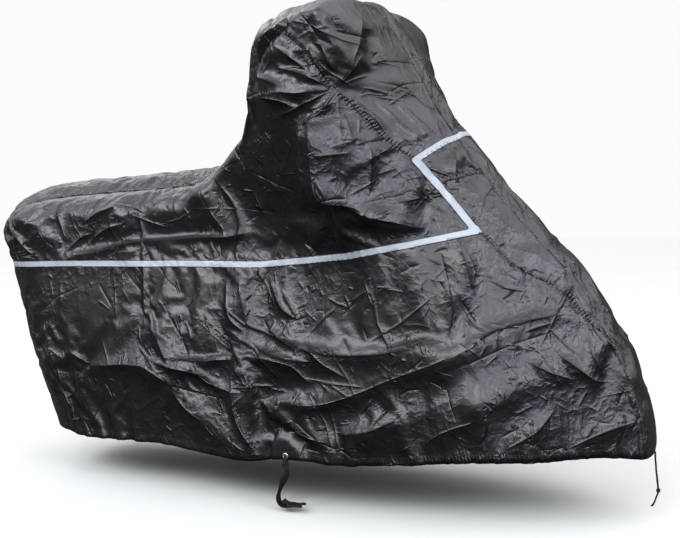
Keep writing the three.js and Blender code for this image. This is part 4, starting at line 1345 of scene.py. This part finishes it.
def heldShares(name):
    # How firmly each point keeps its place: seams fully, tape and shirring partly
    points = base[name]
    x, z = points[..., 0], points[..., 2]
    held = np.full(x.shape, slack["hold"])
    if name != "strip":
        for line, hold, width in (
            (shirring["line"], slack["seamHold"], slack["seamWidth"]),
            (tapeLine, slack["tapeHold"], slack["tapeWidth"]),
        ):
            held = np.maximum(held, hold * bell(fromLine(x, z, line)[0], width))
        held = np.maximum(held, 1 - smoothstep(*slack["eyeletHold"], fromEyelet(x, z)))
        held[0], held[-1], held[:, -1] = 1, 1, 1
    else:
        held[:, 0], held[:, -1] = 1, 1
    return held


def halved(values, axis):
    # Points set half way between each two along an axis, on a smooth curve
    values = np.moveaxis(values, axis, 0)
    padded = np.concatenate([2 * values[:1] - values[1:2], values, 2 * values[-1:] - values[-2:-1]])
    middle = (9 * (padded[1:-2] + padded[2:-1]) - padded[:-3] - padded[3:]) / 16
    doubled = np.zeros((2 * len(values) - 1,) + values.shape[1:])
    doubled[::2], doubled[1::2] = values, middle
    return np.moveaxis(doubled, 0, axis)


def loosePatches(name):
    # Some stretches of cloth lie tight over what carries them and others hang loose
    points = base[name]
    alongRow, upColumn = gridLengths(points, 0), gridLengths(points, 1)
    patch, seed, least = slack["patch"], len(name), slack["least"]
    noise = (
        smoothNoise(alongRow + 0.5 * upColumn, patch, seed)
        + smoothNoise(upColumn - 0.4 * alongRow, patch, seed + 1)
    )
    loose = least + (1 - least) * smoothstep(*slack["patchRange"], noise)
    return loose if name == "strip" else loose * smoothShare(points[..., 0], points[..., 2])


def settleUnderWeight(name):
    coarse = settled[name][::2, ::2]
    held = heldShares(name)[::2, ::2]
    piece = addMesh("settling", coarse.reshape(-1, 3) * mm, gridFaces(*coarse.shape[:2]).tolist(), cloth)
    group = piece.vertex_groups.new(name="held")
    for index, share in enumerate(held.ravel().tolist()):
        group.add([index], share, "REPLACE")
    modifier = piece.modifiers.new("settling", "CLOTH")
    settings = modifier.settings
    settings.quality = 5
    settings.mass = slack["weight"]
    settings.tension_stiffness = settings.compression_stiffness = slack["stretch"]
    settings.shear_stiffness = slack["stretch"] / 3
    settings.bending_stiffness = slack["bending"]
    settings.vertex_group_mass = "held"
    settings.pin_stiffness = 1.0
    settings.effector_weights.gravity = slack["gravity"]
    settings.shrink_min = settings.shrink_max = -slack["extra"][name]
    modifier.collision_settings.use_collision = False
    modifier.point_cache.frame_end = slack["frames"]
    for step in range(1, slack["frames"] + 1):
        scene.frame_set(step)
    evaluated = piece.evaluated_get(bpy.context.evaluated_depsgraph_get())
    flat = np.zeros(coarse.size, np.float32)
    evaluated.data.vertices.foreach_get("co", flat)
    bpy.data.objects.remove(piece)
    scene.frame_set(1)
    moved = flat.reshape(coarse.shape) / mm - coarse
    reach = np.linalg.norm(moved, axis=2, keepdims=True)
    most, mean = round(float(reach.max()), 1), round(float(reach.mean()), 2)
    print(name, "settled by up to", most, "mm, on average", mean)
    moved *= np.minimum(1, slack["mostMove"] / np.maximum(reach, 1e-6))
    return settled[name] + halved(halved(moved, 0), 1) * loosePatches(name)[..., None]


for name in outward:
    settled[name] = settleUnderWeight(name)
settledNormals = {name: gridNormals(settled[name], way) for name, way in outward.items()}
print("creases laid,", len(rightDrawn), "drawn")


# Panels are cut from the grids along a level, so that both sides of a cut share its points

def cutGrid(fields, level):
    # The part of a grid where level is over zero. fields holds what each point carries.
    least = 0.25        # mm, so that no cut runs through a point
    level = np.where(np.abs(level) < least, np.where(level < 0, -least, least), level)
    columns, rows = level.shape
    flat = {name: values.reshape(columns * rows, -1) for name, values in fields.items()}
    over = (level > 0).ravel()
    quads = gridFaces(columns, rows)
    count = over[quads].sum(1)
    faces = [tuple(face) for face in quads[count == 4].tolist()]
    added = {name: [] for name in flat}
    crossings = {}
    levels = level.ravel()

    def crossing(a, b):
        key = (min(a, b), max(a, b))
        if key not in crossings:
            share = levels[key[0]] / (levels[key[0]] - levels[key[1]])
            crossings[key] = columns * rows + len(crossings)
            for name, values in flat.items():
                added[name].append(values[key[0]] + (values[key[1]] - values[key[0]]) * share)
        return crossings[key]

    for quad in quads[(count > 0) & (count < 4)].tolist():
        face = []
        for a, b in zip(quad, quad[1:] + quad[:1]):
            if over[a]:
                face.append(a)
            if over[a] != over[b]:
                face.append(crossing(a, b))
        if len(face) > 2:
            faces.append(tuple(face))
    joined = {
        name: np.vstack([values, np.array(added[name]).reshape(-1, values.shape[1])])
        for name, values in flat.items()
    }
    used = np.unique(np.concatenate([np.array(face) for face in faces]))
    renumber = np.full(len(joined["point"]), -1)
    renumber[used] = np.arange(len(used))
    return {name: values[used] for name, values in joined.items()}, [
        tuple(int(renumber[n]) for n in face) for face in faces
    ]


def thicken(piece, thickness):
    # The outer face stays where it is and the cloth's thickness goes inwards
    solid = piece.modifiers.new("clothThickness", "SOLIDIFY")
    solid.thickness = thickness
    solid.offset = -1


def bandOutline(line, half):
    line = np.asarray(line, float)
    left, right = [], []
    for n, point in enumerate(line):
        into = line[n] - line[n - 1] if n else line[1] - line[0]
        out = line[n + 1] - line[n] if n < len(line) - 1 else into
        into, out = into / np.linalg.norm(into), out / np.linalg.norm(out)
        mitre = np.array([-into[1] - out[1], into[0] + out[0]])
        mitre /= np.linalg.norm(mitre)
        reach = half / abs(mitre @ (-into[1], into[0]))
        left.append(point + mitre * reach)
        right.append(point - mitre * reach)
    return np.array(left + right[::-1])


def insideOutline(x, z, outline):
    # Distance into an outline, below zero outside it
    closed = np.vstack([outline, outline[:1]])
    distance = np.full(x.shape, 1e9)
    inside = np.zeros(x.shape, bool)
    for (x1, z1), (x2, z2) in zip(closed, closed[1:]):
        runX, runZ = x2 - x1, z2 - z1
        share = np.clip(((x - x1) * runX + (z - z1) * runZ) / (runX**2 + runZ**2), 0, 1)
        distance = np.minimum(distance, np.hypot(x - x1 - share * runX, z - z1 - share * runZ))
        if z1 != z2:
            crosses = ((z1 > z) != (z2 > z)) & (x < x1 + (z - z1) * runX / runZ)
            inside ^= crosses
    return np.where(inside, distance, -distance)


# How strong the shaded gathers are along each kind of seam, and how wide
gathers = {
    "strip": 0.22, "edge": 0.25, "edgeWidth": 7.0, "elasticWidth": 6.5,
    "hem": 0.15, "shirredHem": 0.6, "hemWidth": 20.0, "unevenStep": 23.0, "unevenSeed": 91,
}


def gatherFields(name):
    # Each point's share of the nearest elastic or sewn seam's gathers, and its way along it
    points = base[name]
    alongRow, upColumn = gridLengths(points, 0), gridLengths(points, 1)
    fromTop = upColumn[:, -1:] - upColumn
    if name == "strip":
        edge = np.minimum(upColumn, fromTop)
        return gathers["strip"] * bell(edge, gathers["edgeWidth"]), alongRow
    x, z = points[..., 0], points[..., 2]
    away, along = fromLine(x, z, shirring["line"])
    edge = np.minimum(np.minimum(alongRow, alongRow[-1:] - alongRow), fromTop)
    uneven = 0.55 + 0.45 * smoothNoise(along, gathers["unevenStep"], gathers["unevenSeed"])
    hemShare = gathers["hem"] + gathers["shirredHem"] * shirredShare(x)
    shares = np.stack([
        uneven * bell(away, gathers["elasticWidth"]), hemShare * bell(upColumn, gathers["hemWidth"]),
        gathers["edge"] * bell(edge, gathers["edgeWidth"]),
    ])
    ways = np.stack([along, alongRow, alongRow + upColumn])
    nearest = shares.argmax(0)[None]
    return np.take_along_axis(shares, nearest, 0)[0], np.take_along_axis(ways, nearest, 0)[0]


def creaseFields(name):
    # In sets, so that lines of one set may cross those of another
    rng = np.random.default_rng(500 + len(name))
    if name == "strip":
        x, z = gridLengths(base[name], 0), gridLengths(base[name], 1)
        area, lean, drawn = ((0, x.max()), (0, z.max())), lambda _: 0, []
    else:
        x, z = base[name][..., 0], base[name][..., 2]
        area, lean, drawn = sideArea, tensionLean, sideCreases[name]
    drawn = [
        (math.copysign(min(1.0, 0.35 + abs(rise) / 16), rise), stops) for rise, _, _, stops in drawn
    ]
    sets = [drawn[n::3] for n in range(3)]
    sets += [scatteredLines(rng, setup, *area, lean) for setup in fineLines["sets"]]
    values = {}
    for n, lines in enumerate(sets):
        away, shown = lineFields(x, z, lines)
        values[f"creaseAway{n}"], values[f"creaseShare{n}"] = away[..., None], shown[..., None]
    return values


def clothMap(name):
    return np.stack([gridLengths(base[name], 0), gridLengths(base[name], 1)], -1) * mm


def clothFields(name):
    share, way = gatherFields(name)
    return {
        "point": toPart(settled[name]), "map": clothMap(name),
        "gatherShare": share[..., None], "gatherWay": way[..., None], **creaseFields(name),
    }


clothThickness = 1.4 * mm
offTheTape = -20.0


def facedOut(faces, grid):
    return faces if outward[grid] > 0 else [face[::-1] for face in faces]


def addCloth(name, nodes, grid, fields, faces):
    piece = addMesh(name, fields["point"], facedOut(faces, grid), cloth)
    giveMap(piece, "clothMap", fields["map"])
    for key in fields:
        if key not in ("point", "map"):
            giveNumber(piece, key, fields[key][:, 0])
    thicken(piece, clothThickness)
    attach(piece, "root")
    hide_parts(*nodes)
    return piece


def addTapePiece(name, grid, fromX=-math.inf, toX=math.inf):
    x, z = base[grid][..., 0], base[grid][..., 2]
    level = insideOutline(x, z, bandOutline(tapeLine, tape["width"] / 2))
    level = np.where((x > fromX) & (x < toX), level, offTheTape)
    middle, _ = fromLine(x, z, tapeLine)
    lifted = settled[grid] + settledNormals[grid] * tape["lift"]
    fields = {"point": toPart(lifted), "fromMiddle": middle, "map": clothMap(grid)}
    fields, faces = cutGrid(fields, level)
    bandName = name.replace("tape", "band")
    piece = addMesh(bandName, fields["point"], facedOut(faces, grid), tapeSilver)
    giveMap(piece, "clothMap", fields["map"])
    giveNumber(piece, "fromMiddle", fields["fromMiddle"][:, 0])
    thicken(piece, tape["thickness"])
    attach(piece, "root")
    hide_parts(name)


def addSide(name):
    x, z = base[name][..., 0], base[name][..., 2]
    level, _ = fromLine(x, z, shirring["line"])
    outsideHole = fromEyelet(x, z) - eyeletHole
    fields = clothFields(name)
    mainCut = cutGrid(fields, np.minimum(-level, outsideHole))
    main = addCloth(f"cloth_side_{name}", [f"side_panel_{name}"], name, *mainCut)
    addCloth(f"cloth_wing_{name}", [f"wing_panel_{name}"], name, *cutGrid(fields, level))
    addTapePiece(f"tape_{name}", name)
    return main


sides = {name: addSide(name) for name in ("right", "left")}
stripFields = {
    key: values.reshape(-1, values.shape[-1]) for key, values in clothFields("strip").items()
}
stripFaces = [tuple(face) for face in gridFaces(*settled["strip"].shape[:2]).tolist()]
addCloth("cloth_centre_strip", ["centre_strip"], "strip", stripFields, stripFaces)
addTapePiece("tape_tail", "strip", toX=-700)
addTapePiece("tape_nose", "strip", fromX=0)
print("cloth panels and tapes cut")


# Eyelets and the belly strap

# A pressed ring, turned from radius and height over the cloth
eyelet = {
    "profile": [
        (4.3, -2.6), (8.2, -2.6), (8.4, -2.3), (8.2, -1.9), (5.2, -1.8), (4.9, -0.8), (5.2, 0.15),
        (8.1, 0.15), (8.5, 0.45), (8.3, 0.9), (7.2, 1.25), (5.8, 1.3), (4.7, 0.95), (4.2, 0.2),
        (4.15, -1.2),
    ],
    "segments": 40,
}
# Where rays meet the cloth around the hole, the first two straight before and behind it
eyeletProbes = [(0.012, 0), (-0.012, 0), (0, 0.012), (0.009, 0.009), (-0.009, 0.009)]


def spotOn(piece, side):
    # The eyelet's place on the cloth's outer face and the way out of it, found from the side
    mesh = piece.data
    tree = treeOf([vertex.co for vertex in mesh.vertices], [face.vertices for face in mesh.polygons])
    x, z = eyeletX * mm, (eyeletZ + carryDepth) * mm
    hits = [
        tree.ray_cast(Vector((x + dx, side, z + dz)), Vector((0, -side, 0)))
        for dx, dz in eyeletProbes
    ]
    hits = [hit for hit in hits if hit[0] is not None]
    out = sum((hit[1] for hit in hits), Vector()).normalized()
    if out.y * side < 0:
        out = -out
    depth = sum(hit[0].y for hit in hits[:2]) / 2
    return Vector((x, depth, z)), out


def addEyelet(name, point, out):
    across = Vector((0, 0, 1)).cross(out).normalized()
    up = out.cross(across)
    segments = eyelet["segments"]
    vertices, faces = [], []
    for n in range(segments):
        angle = 2 * math.pi * n / segments
        for radius, height in eyelet["profile"]:
            ring = across * (radius * math.cos(angle)) + up * (radius * math.sin(angle))
            vertices.append(point + (ring + out * height) * mm)
    rows = len(eyelet["profile"])
    for n in range(segments):
        for k in range(rows):
            a, b = n * rows + k, ((n + 1) % segments) * rows + k
            c, d = ((n + 1) % segments) * rows + (k + 1) % rows, n * rows + (k + 1) % rows
            faces.append((a, b, c, d))
    piece = addMesh(f"ring_{name}", vertices, faces, eyeletMetal)
    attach(piece, "root")
    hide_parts(name)


# Straps, from the inside of the hem through the eyelet and down. Each row has how far it lies
# forward, outward and up of the eyelet, its width, and its turn about the upright in degrees.
webbing = {
    "thickness": 1.2, "stepsPerRow": 7, "width": 25.0,
    # The round of its edges, the thicker selvedges, and folds where it is drawn narrow
    "edgeShare": 0.55, "selvedge": 0.25, "foldRise": 0.105, "foldedBelow": 12,
}
strapHead = [
    (0, -0.2, -33, 20, 0), (0, -0.7, -25, 18, 0), (0, -3.4, -17, 14, 0), (0, -6.2, -10, 10, 0),
    (0, -6.6, -4.5, 7.4, 0), (0, -4.6, -0.7, 6.9, 0), (0, -1.6, 0.2, 6.9, 0), (0, 1.4, -0.7, 6.9, 0),
    (0, 3.4, -4.5, 7.4, 0), (0, 3.5, -10, 10, 0), (0, 2.6, -17, 14, 0), (0, 1.6, -25, 18, 0),
    (0, 1.4, -34, 21, 0),
]
longTail = [
    (-2, 1.5, -52, 25, 40), (-8, 2, -72, 25, 68), (-16, 3, -92, 25, 90), (-21, 4, -109, 25, 90),
    (-19, 4, -124, 25, 90), (-10, 4, -133.2, 25, 90), (1, 4, -135.3, 25, 90),
]
shortTail = [(0, 1.5, -46, 25, 0), (0, 1.5, -56, 25, 0)]
# Round a buckle half's bar: along the half and over it
barWrap = [
    (1.2, -4.3), (3.9, -4.2), (5.5, -3.3), (6, -1.5), (6, 1.5), (5.5, 3.3), (3.9, 4.3), (1.2, 4.6),
    (-5, 5.8),
]
foldedEnd = [(-11, 9), (-15, 14)]
plugPlace = {"forward": 10, "out": 4, "up": -130.4, "pitch": math.radians(5)}
socketPlace = {"out": 5.8, "up": -60}


def strapRows(rows, origin, side):
    rows = np.asarray(rows, float)
    places = np.stack([rows[:, 0], side * rows[:, 1], rows[:, 2]], -1) + np.array(origin) / mm
    return places, rows[:, 3], np.radians(rows[:, 4])


def addStrap(name, node, rows, origin, side):
    places, wide, turn = strapRows(rows, origin, side)
    steps = webbing["stepsPerRow"]
    path = smoothPath(places, steps)
    index = np.arange(len(path)) / steps
    stops = np.arange(len(places))
    wide, turn = lookUp(stops, wide, index), lookUp(stops, turn, index)
    along = np.gradient(path, axis=0)
    along /= np.linalg.norm(along, axis=1)[:, None]
    across = np.stack([np.cos(turn), np.sin(turn), 0 * turn], -1)
    across -= along * (across * along).sum(1)[:, None]
    across /= np.linalg.norm(across, axis=1)[:, None]
    up = np.cross(along, across)
    half, edge = webbing["thickness"] / 2, webbing["edgeShare"]
    section = [(-1, -edge), (-1, edge)] + [(s, 1) for s in (-0.96, -0.6, -0.3, 0, 0.3, 0.6, 0.96)]
    section += [(-s, -t) for s, t in section]
    lengths = runLengths(path)
    vertices, coordinates = [], []
    for k, centre in enumerate(path):
        for s, t in section:
            fold = webbing["foldRise"] * math.sin(9 * s) * (wide[k] < webbing["foldedBelow"])
            curl = 1 + webbing["selvedge"] * (abs(s) > 0.9) + fold
            vertices.append((centre + across[k] * s * wide[k] / 2 + up[k] * t * half * curl) * mm)
            coordinates.append((lengths[k] * mm, s * webbing["width"] / 2 * mm))
    piece = addMesh(name, vertices, tubeFaces(len(path), len(section)), strapWeb)
    giveMap(piece, "bandMap", coordinates)
    check = bmesh.new()
    check.from_mesh(piece.data)
    bmesh.ops.recalc_face_normals(check, faces=check.faces)
    check.to_mesh(piece.data)
    check.free()
    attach(piece, "root")
    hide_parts(node)
    return lengths[-1] * mm


moulding = {"joinWithin": 1e-5, "flatWithin": math.radians(2), "radius": 0.5 * mm, "steps": 3}


def addBuckle(name, node):
    # A moulded copy of the node with rounded edges
    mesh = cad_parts[node].data.copy()
    mesh.name = name
    work = bmesh.new()
    work.from_mesh(mesh)
    bmesh.ops.remove_doubles(work, verts=work.verts, dist=moulding["joinWithin"])
    bmesh.ops.dissolve_limit(
        work, angle_limit=moulding["flatWithin"], verts=work.verts, edges=work.edges,
    )
    work.to_mesh(mesh)
    work.free()
    mesh.materials.clear()
    mesh.materials.append(buckleBlack)
    piece = bpy.data.objects.new(name, mesh)
    scene.collection.objects.link(piece)
    rounding = piece.modifiers.new("moulding", "BEVEL")
    rounding.width = moulding["radius"]
    rounding.segments = moulding["steps"]
    rounding.limit_method = "ANGLE"
    rounding.harden_normals = False
    mesh.polygons.foreach_set("use_smooth", [True] * len(mesh.polygons))
    weighted = piece.modifiers.new("evenShading", "WEIGHTED_NORMAL")
    weighted.keep_sharp = True
    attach(piece, "root")
    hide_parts(node)


rightSpot, leftSpot = spotOn(sides["right"], -1), spotOn(sides["left"], 1)
addEyelet("eyelet_right", *rightSpot)
addEyelet("eyelet_left", *leftSpot)
cosPitch, sinPitch = math.cos(plugPlace["pitch"]), math.sin(plugPlace["pitch"])
plugWrap = [
    (
        plugPlace["forward"] + along * cosPitch - up * sinPitch, plugPlace["out"],
        plugPlace["up"] + along * sinPitch + up * cosPitch, webbing["width"], 90,
    )
    for along, up in barWrap + foldedEnd
]
socketWrap = [
    (0, socketPlace["out"] + up, socketPlace["up"] - along, webbing["width"], 0)
    for along, up in barWrap
]
longRows, shortRows = strapHead + longTail + plugWrap, strapHead + shortTail + socketWrap
longLength = addStrap("strap_long", "belly_strap_long", longRows, rightSpot[0], -1)
shortLength = addStrap("strap_short", "belly_strap_short", shortRows, leftSpot[0], 1)
addBuckle("plug_moulded", "buckle_plug")
addBuckle("socket_moulded", "buckle_socket")
print("straps and buckle made,", round(longLength, 3), round(shortLength, 3), "m")


# Stitches follow lines on the cloth, by a node tree that sets one on every step

stitching = {
    "spacing": 4.6 * mm, "length": 3.2 * mm, "thickness": 0.75 * mm, "lift": 0.5,
    # How far the lines run from the hem's upper edge, a seam, the shirred seam and the tape's middle
    "hem": 4, "seam": 7, "topSeam": 13, "shirred": 5, "tape": 8.2,
    # and from which x on, with a point for about each step
    "shirredFrom": -190, "tapeFrom": -1110, "step": 4,
}


def stitchTree():
    tree = bpy.data.node_groups.new("stitches", "GeometryNodeTree")
    tree.interface.new_socket(name="Geometry", in_out="INPUT", socket_type="NodeSocketGeometry")
    for name in ("Spacing", "Stitch Length", "Thread Thickness"):
        tree.interface.new_socket(name=name, in_out="INPUT", socket_type="NodeSocketFloat")
    tree.interface.new_socket(name="Thread", in_out="INPUT", socket_type="NodeSocketMaterial")
    tree.interface.new_socket(name="Geometry", in_out="OUTPUT", socket_type="NodeSocketGeometry")
    new, link = tree.nodes.new, tree.links.new
    given, result = new("NodeGroupInput"), new("NodeGroupOutput")
    curve = new("GeometryNodeMeshToCurve")
    link(given.outputs["Geometry"], curve.inputs["Mesh"])
    steps = new("GeometryNodeResampleCurve")
    steps.mode = "LENGTH"
    link(curve.outputs[0], steps.inputs["Curve"])
    link(given.outputs["Spacing"], steps.inputs["Length"])
    tangent = new("GeometryNodeInputTangent")
    turn = new("FunctionNodeAlignEulerToVector")
    turn.axis = "Z"
    link(tangent.outputs[0], turn.inputs["Vector"])
    thread = new("GeometryNodeMeshUVSphere")
    thread.inputs["Segments"].default_value = 6
    thread.inputs["Rings"].default_value = 4
    thread.inputs["Radius"].default_value = 0.5
    size = new("ShaderNodeCombineXYZ")
    link(given.outputs["Thread Thickness"], size.inputs[0])
    link(given.outputs["Thread Thickness"], size.inputs[1])
    link(given.outputs["Stitch Length"], size.inputs[2])
    laid = new("GeometryNodeInstanceOnPoints")
    link(steps.outputs[0], laid.inputs["Points"])
    link(thread.outputs["Mesh"], laid.inputs["Instance"])
    link(turn.outputs[0], laid.inputs["Rotation"])
    link(size.outputs[0], laid.inputs["Scale"])
    real = new("GeometryNodeRealizeInstances")
    link(laid.outputs[0], real.inputs[0])
    paint = new("GeometryNodeSetMaterial")
    link(real.outputs[0], paint.inputs["Geometry"])
    link(given.outputs["Thread"], paint.inputs["Material"])
    link(paint.outputs[0], result.inputs[0])
    return tree


stitches = stitchTree()


def addStitches(name, lines, material):
    vertices, edges = [], []
    for line in lines:
        start = len(vertices)
        vertices.extend(line.tolist())
        edges.extend((start + n, start + n + 1) for n in range(len(line) - 1))
    guide = bpy.data.meshes.new(name)
    guide.from_pydata(vertices, edges, [])
    piece = bpy.data.objects.new(name, guide)
    scene.collection.objects.link(piece)
    modifier = piece.modifiers.new("stitches", "NODES")
    values = {
        "Spacing": stitching["spacing"], "Stitch Length": stitching["length"],
        "Thread Thickness": stitching["thickness"], "Thread": material,
    }
    modifier.node_group = stitches
    for item in stitches.interface.items_tree:
        if item.in_out == "INPUT" and item.name in values:
            modifier[item.identifier] = values[item.name]
    evaluated = piece.evaluated_get(bpy.context.evaluated_depsgraph_get())
    result = bpy.data.meshes.new_from_object(evaluated)
    piece.modifiers.remove(modifier)
    piece.data = result
    result.polygons.foreach_set("use_smooth", [True] * len(result.polygons))
    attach(piece, "root")


def lineAtDepth(points, out, distance):
    # A line on a grid at this distance from its first row, lifted off the cloth
    lengths = gridLengths(points, 1)
    line = []
    for column, rows, ways in zip(points, lengths, out):
        place = [np.interp(distance, rows, column[:, k]) for k in range(3)]
        way = [np.interp(distance, rows, ways[:, k]) for k in range(3)]
        line.append(np.array(place) + np.array(way) * stitching["lift"])
    return toPart(line)


def sideLines(name):
    points, out = settled[name], settledNormals[name]
    down, downOut = points[:, ::-1], out[:, ::-1]
    turned, turnedOut = points.transpose(1, 0, 2), out.transpose(1, 0, 2)
    return [
        lineAtDepth(points, out, hem["height"] - stitching["hem"]),
        lineAtDepth(down, downOut, stitching["seam"])[2:-2],
        lineAtDepth(down, downOut, stitching["topSeam"])[2:-2],
        lineAtDepth(turned, turnedOut, stitching["seam"])[:-2],
        lineAtDepth(turned[:, ::-1], turnedOut[:, ::-1], stitching["seam"])[:-2],
    ]


def linesBeside(grid, line, offset, fromX, lift):
    # On both sides of a line of the side view, found on the grid by ray from the side
    side, tree = -outward[grid], gridTree(settled[grid])
    edges = bandOutline(line, offset)
    runs = []
    for stops in (edges[:len(line)], edges[len(line):][::-1]):
        runs.append([])
        for a, b in zip(stops, stops[1:]):
            count = max(int(np.linalg.norm(b - a) / stitching["step"]), 2)
            for x, z in np.linspace(a, b, count, endpoint=False):
                hit, out, _, _ = tree.ray_cast(Vector((x, side * 900, z)), Vector((0, -side, 0)))
                if hit is None or x <= fromX:
                    runs.append([])
                else:
                    runs[-1].append(hit + out * math.copysign(lift, out.y * side))
    return [toPart(run) for run in runs if len(run) > 3]


lift = stitching["lift"]
for name in ("right", "left"):
    seamLines = linesBeside(
        name, shirring["line"], stitching["shirred"], stitching["shirredFrom"], lift,
    )
    addStitches(f"stitches_{name}", sideLines(name) + seamLines, threadBlack)
    tapeLines = linesBeside(
        name, tapeLine, stitching["tape"], stitching["tapeFrom"], lift + tape["lift"],
    )
    addStitches(f"tape_stitches_{name}", tapeLines, threadBlack)
print("stitches set")
# Studio: pale floor, soft light from the front right and from above

studio = {
    "floorZ": -1.352,
    "floorRadius": 14.0,
    "floorColour": (0.425, 0.445, 0.42),
    "floorShade": (0.455, 0.475, 0.45),
    "floorBounce": (0.04, 0.04, 0.04),
    "backdrop": (0.80, 0.81, 0.82),
    # Brightness of the studio by the height of the way to it, from straight down to straight up
    "sky": [(0.0, 0.015), (0.50, 0.03), (0.55, 0.16), (0.62, 1.0), (0.72, 2.2), (0.88, 2.2), (1.0, 1.3)],
    # and by its x and its y: between which two values, then the brightness at both
    "sides": (-0.8, 0.8, 0.66, 1.12),
    "depths": (0.92, 0.55, 0.07, 1.15),
    "tint": (1.0, 0.955, 1.02),
}


def makeFloor(setup):
    # Pale to look at, though it throws little light back up at the cloth
    graph = Graph("paleFloor")
    cloud = graph.noise(graph.place(), 2.0, 3.0)
    shade = graph.mix(cloud, setup["floorColour"], setup["floorShade"])
    seen = graph.add("ShaderNodeLightPath", {}, {}, "Is Camera Ray")
    shade = graph.mix(seen, setup["floorBounce"], shade)
    material = graph.finish(Base_Color=shade, Roughness=0.85)
    ring, radius, floorZ = 96, setup["floorRadius"], setup["floorZ"]
    angles = [2 * math.pi * n / ring for n in range(ring)]
    rim = [(radius * math.cos(angle), radius * math.sin(angle), floorZ) for angle in angles]
    faces = [(0, n + 1, (n + 1) % ring + 1) for n in range(ring)]
    floor = addMesh("floor", [(0, 0, floorZ), *rim], faces, material, False)


def makeWorld(setup):
    # A dim room with a soft bright ceiling, before a pale backdrop
    world = bpy.data.worlds.new("studio")
    world.use_nodes = True
    nodes, link = world.node_tree.nodes, world.node_tree.links.new
    place = nodes.new("ShaderNodeTexCoord")
    parts = nodes.new("ShaderNodeSeparateXYZ")
    level = nodes.new("ShaderNodeMapRange")
    level.inputs["From Min"].default_value = -1.0
    ramp = nodes.new("ShaderNodeValToRGB")
    ramp.color_ramp.interpolation = "EASE"
    for _ in setup["sky"][2:]:
        ramp.color_ramp.elements.new(1.0)
    strength = nodes.new("ShaderNodeMath")
    strength.operation = "MULTIPLY"
    for n, values in enumerate((setup["sides"], setup["depths"])):
        share = nodes.new("ShaderNodeMapRange")
        for key, value in zip(("From Min", "From Max", "To Min", "To Max"), values):
            share.inputs[key].default_value = value
        link(parts.outputs[n], share.inputs["Value"])
        link(share.outputs[0], strength.inputs[n])
    for element, (position, value) in zip(ramp.color_ramp.elements, setup["sky"]):
        element.position = position
        element.color = (*(value * part for part in setup["tint"]), 1)
    ceiling = nodes["Background"]
    backdrop = nodes.new("ShaderNodeBackground")
    backdrop.inputs["Color"].default_value = (*setup["backdrop"], 1)
    seen = nodes.new("ShaderNodeLightPath")
    choice = nodes.new("ShaderNodeMixShader")
    link(place.outputs["Generated"], parts.inputs[0])
    link(parts.outputs[2], level.inputs["Value"])
    link(strength.outputs[0], ceiling.inputs["Strength"])
    link(level.outputs[0], ramp.inputs[0])
    link(ramp.outputs[0], ceiling.inputs["Color"])
    link(seen.outputs["Is Camera Ray"], choice.inputs[0])
    link(ceiling.outputs[0], choice.inputs[1])
    link(backdrop.outputs[0], choice.inputs[2])
    link(choice.outputs[0], nodes["World Output"].inputs["Surface"])
    scene.world = world


lights = {
    "keyLight": {"place": (4.4, -2.6, 1.6), "size": 2.2, "power": 100, "colour": (0.80, 0.89, 1.0)},
    "lowLight": {"place": (3.2, -5.0, -0.2), "size": 2.6, "power": 95, "colour": (0.78, 0.88, 1.0)},
    "frontLight": {"place": (0.4, -4.8, 2.4), "size": 2.2, "power": 120, "colour": (1.0, 0.97, 0.98)},
    "rearLight": {"place": (-2.8, -4.0, 2.8), "size": 2.8, "power": 180, "colour": (0.84, 0.90, 1.0)},
    "rimLight": {"place": (-3.2, 2.4, 2.0), "size": 1.6, "power": 12, "colour": (1.0, 1.0, 1.0)},
}
lightAim = Vector((-0.1, 0, -0.6))


def addLight(name, setup):
    data = bpy.data.lights.new(name, "AREA")
    data.shape = "DISK"
    data.size = setup["size"]
    data.energy = setup["power"]
    data.color = setup["colour"]
    light = bpy.data.objects.new(name, data)
    scene.collection.objects.link(light)
    light.visible_camera = False
    place = Vector(setup["place"])
    light.location = place
    light.rotation_euler = (lightAim - place).to_track_quat("-Z", "Y").to_euler()


makeFloor(studio)
makeWorld(studio)
for name, setup in lights.items():
    addLight(name, setup)
scene.view_settings.view_transform = "Standard"
scene.view_settings.look = "Medium High Contrast"
print("studio lit")
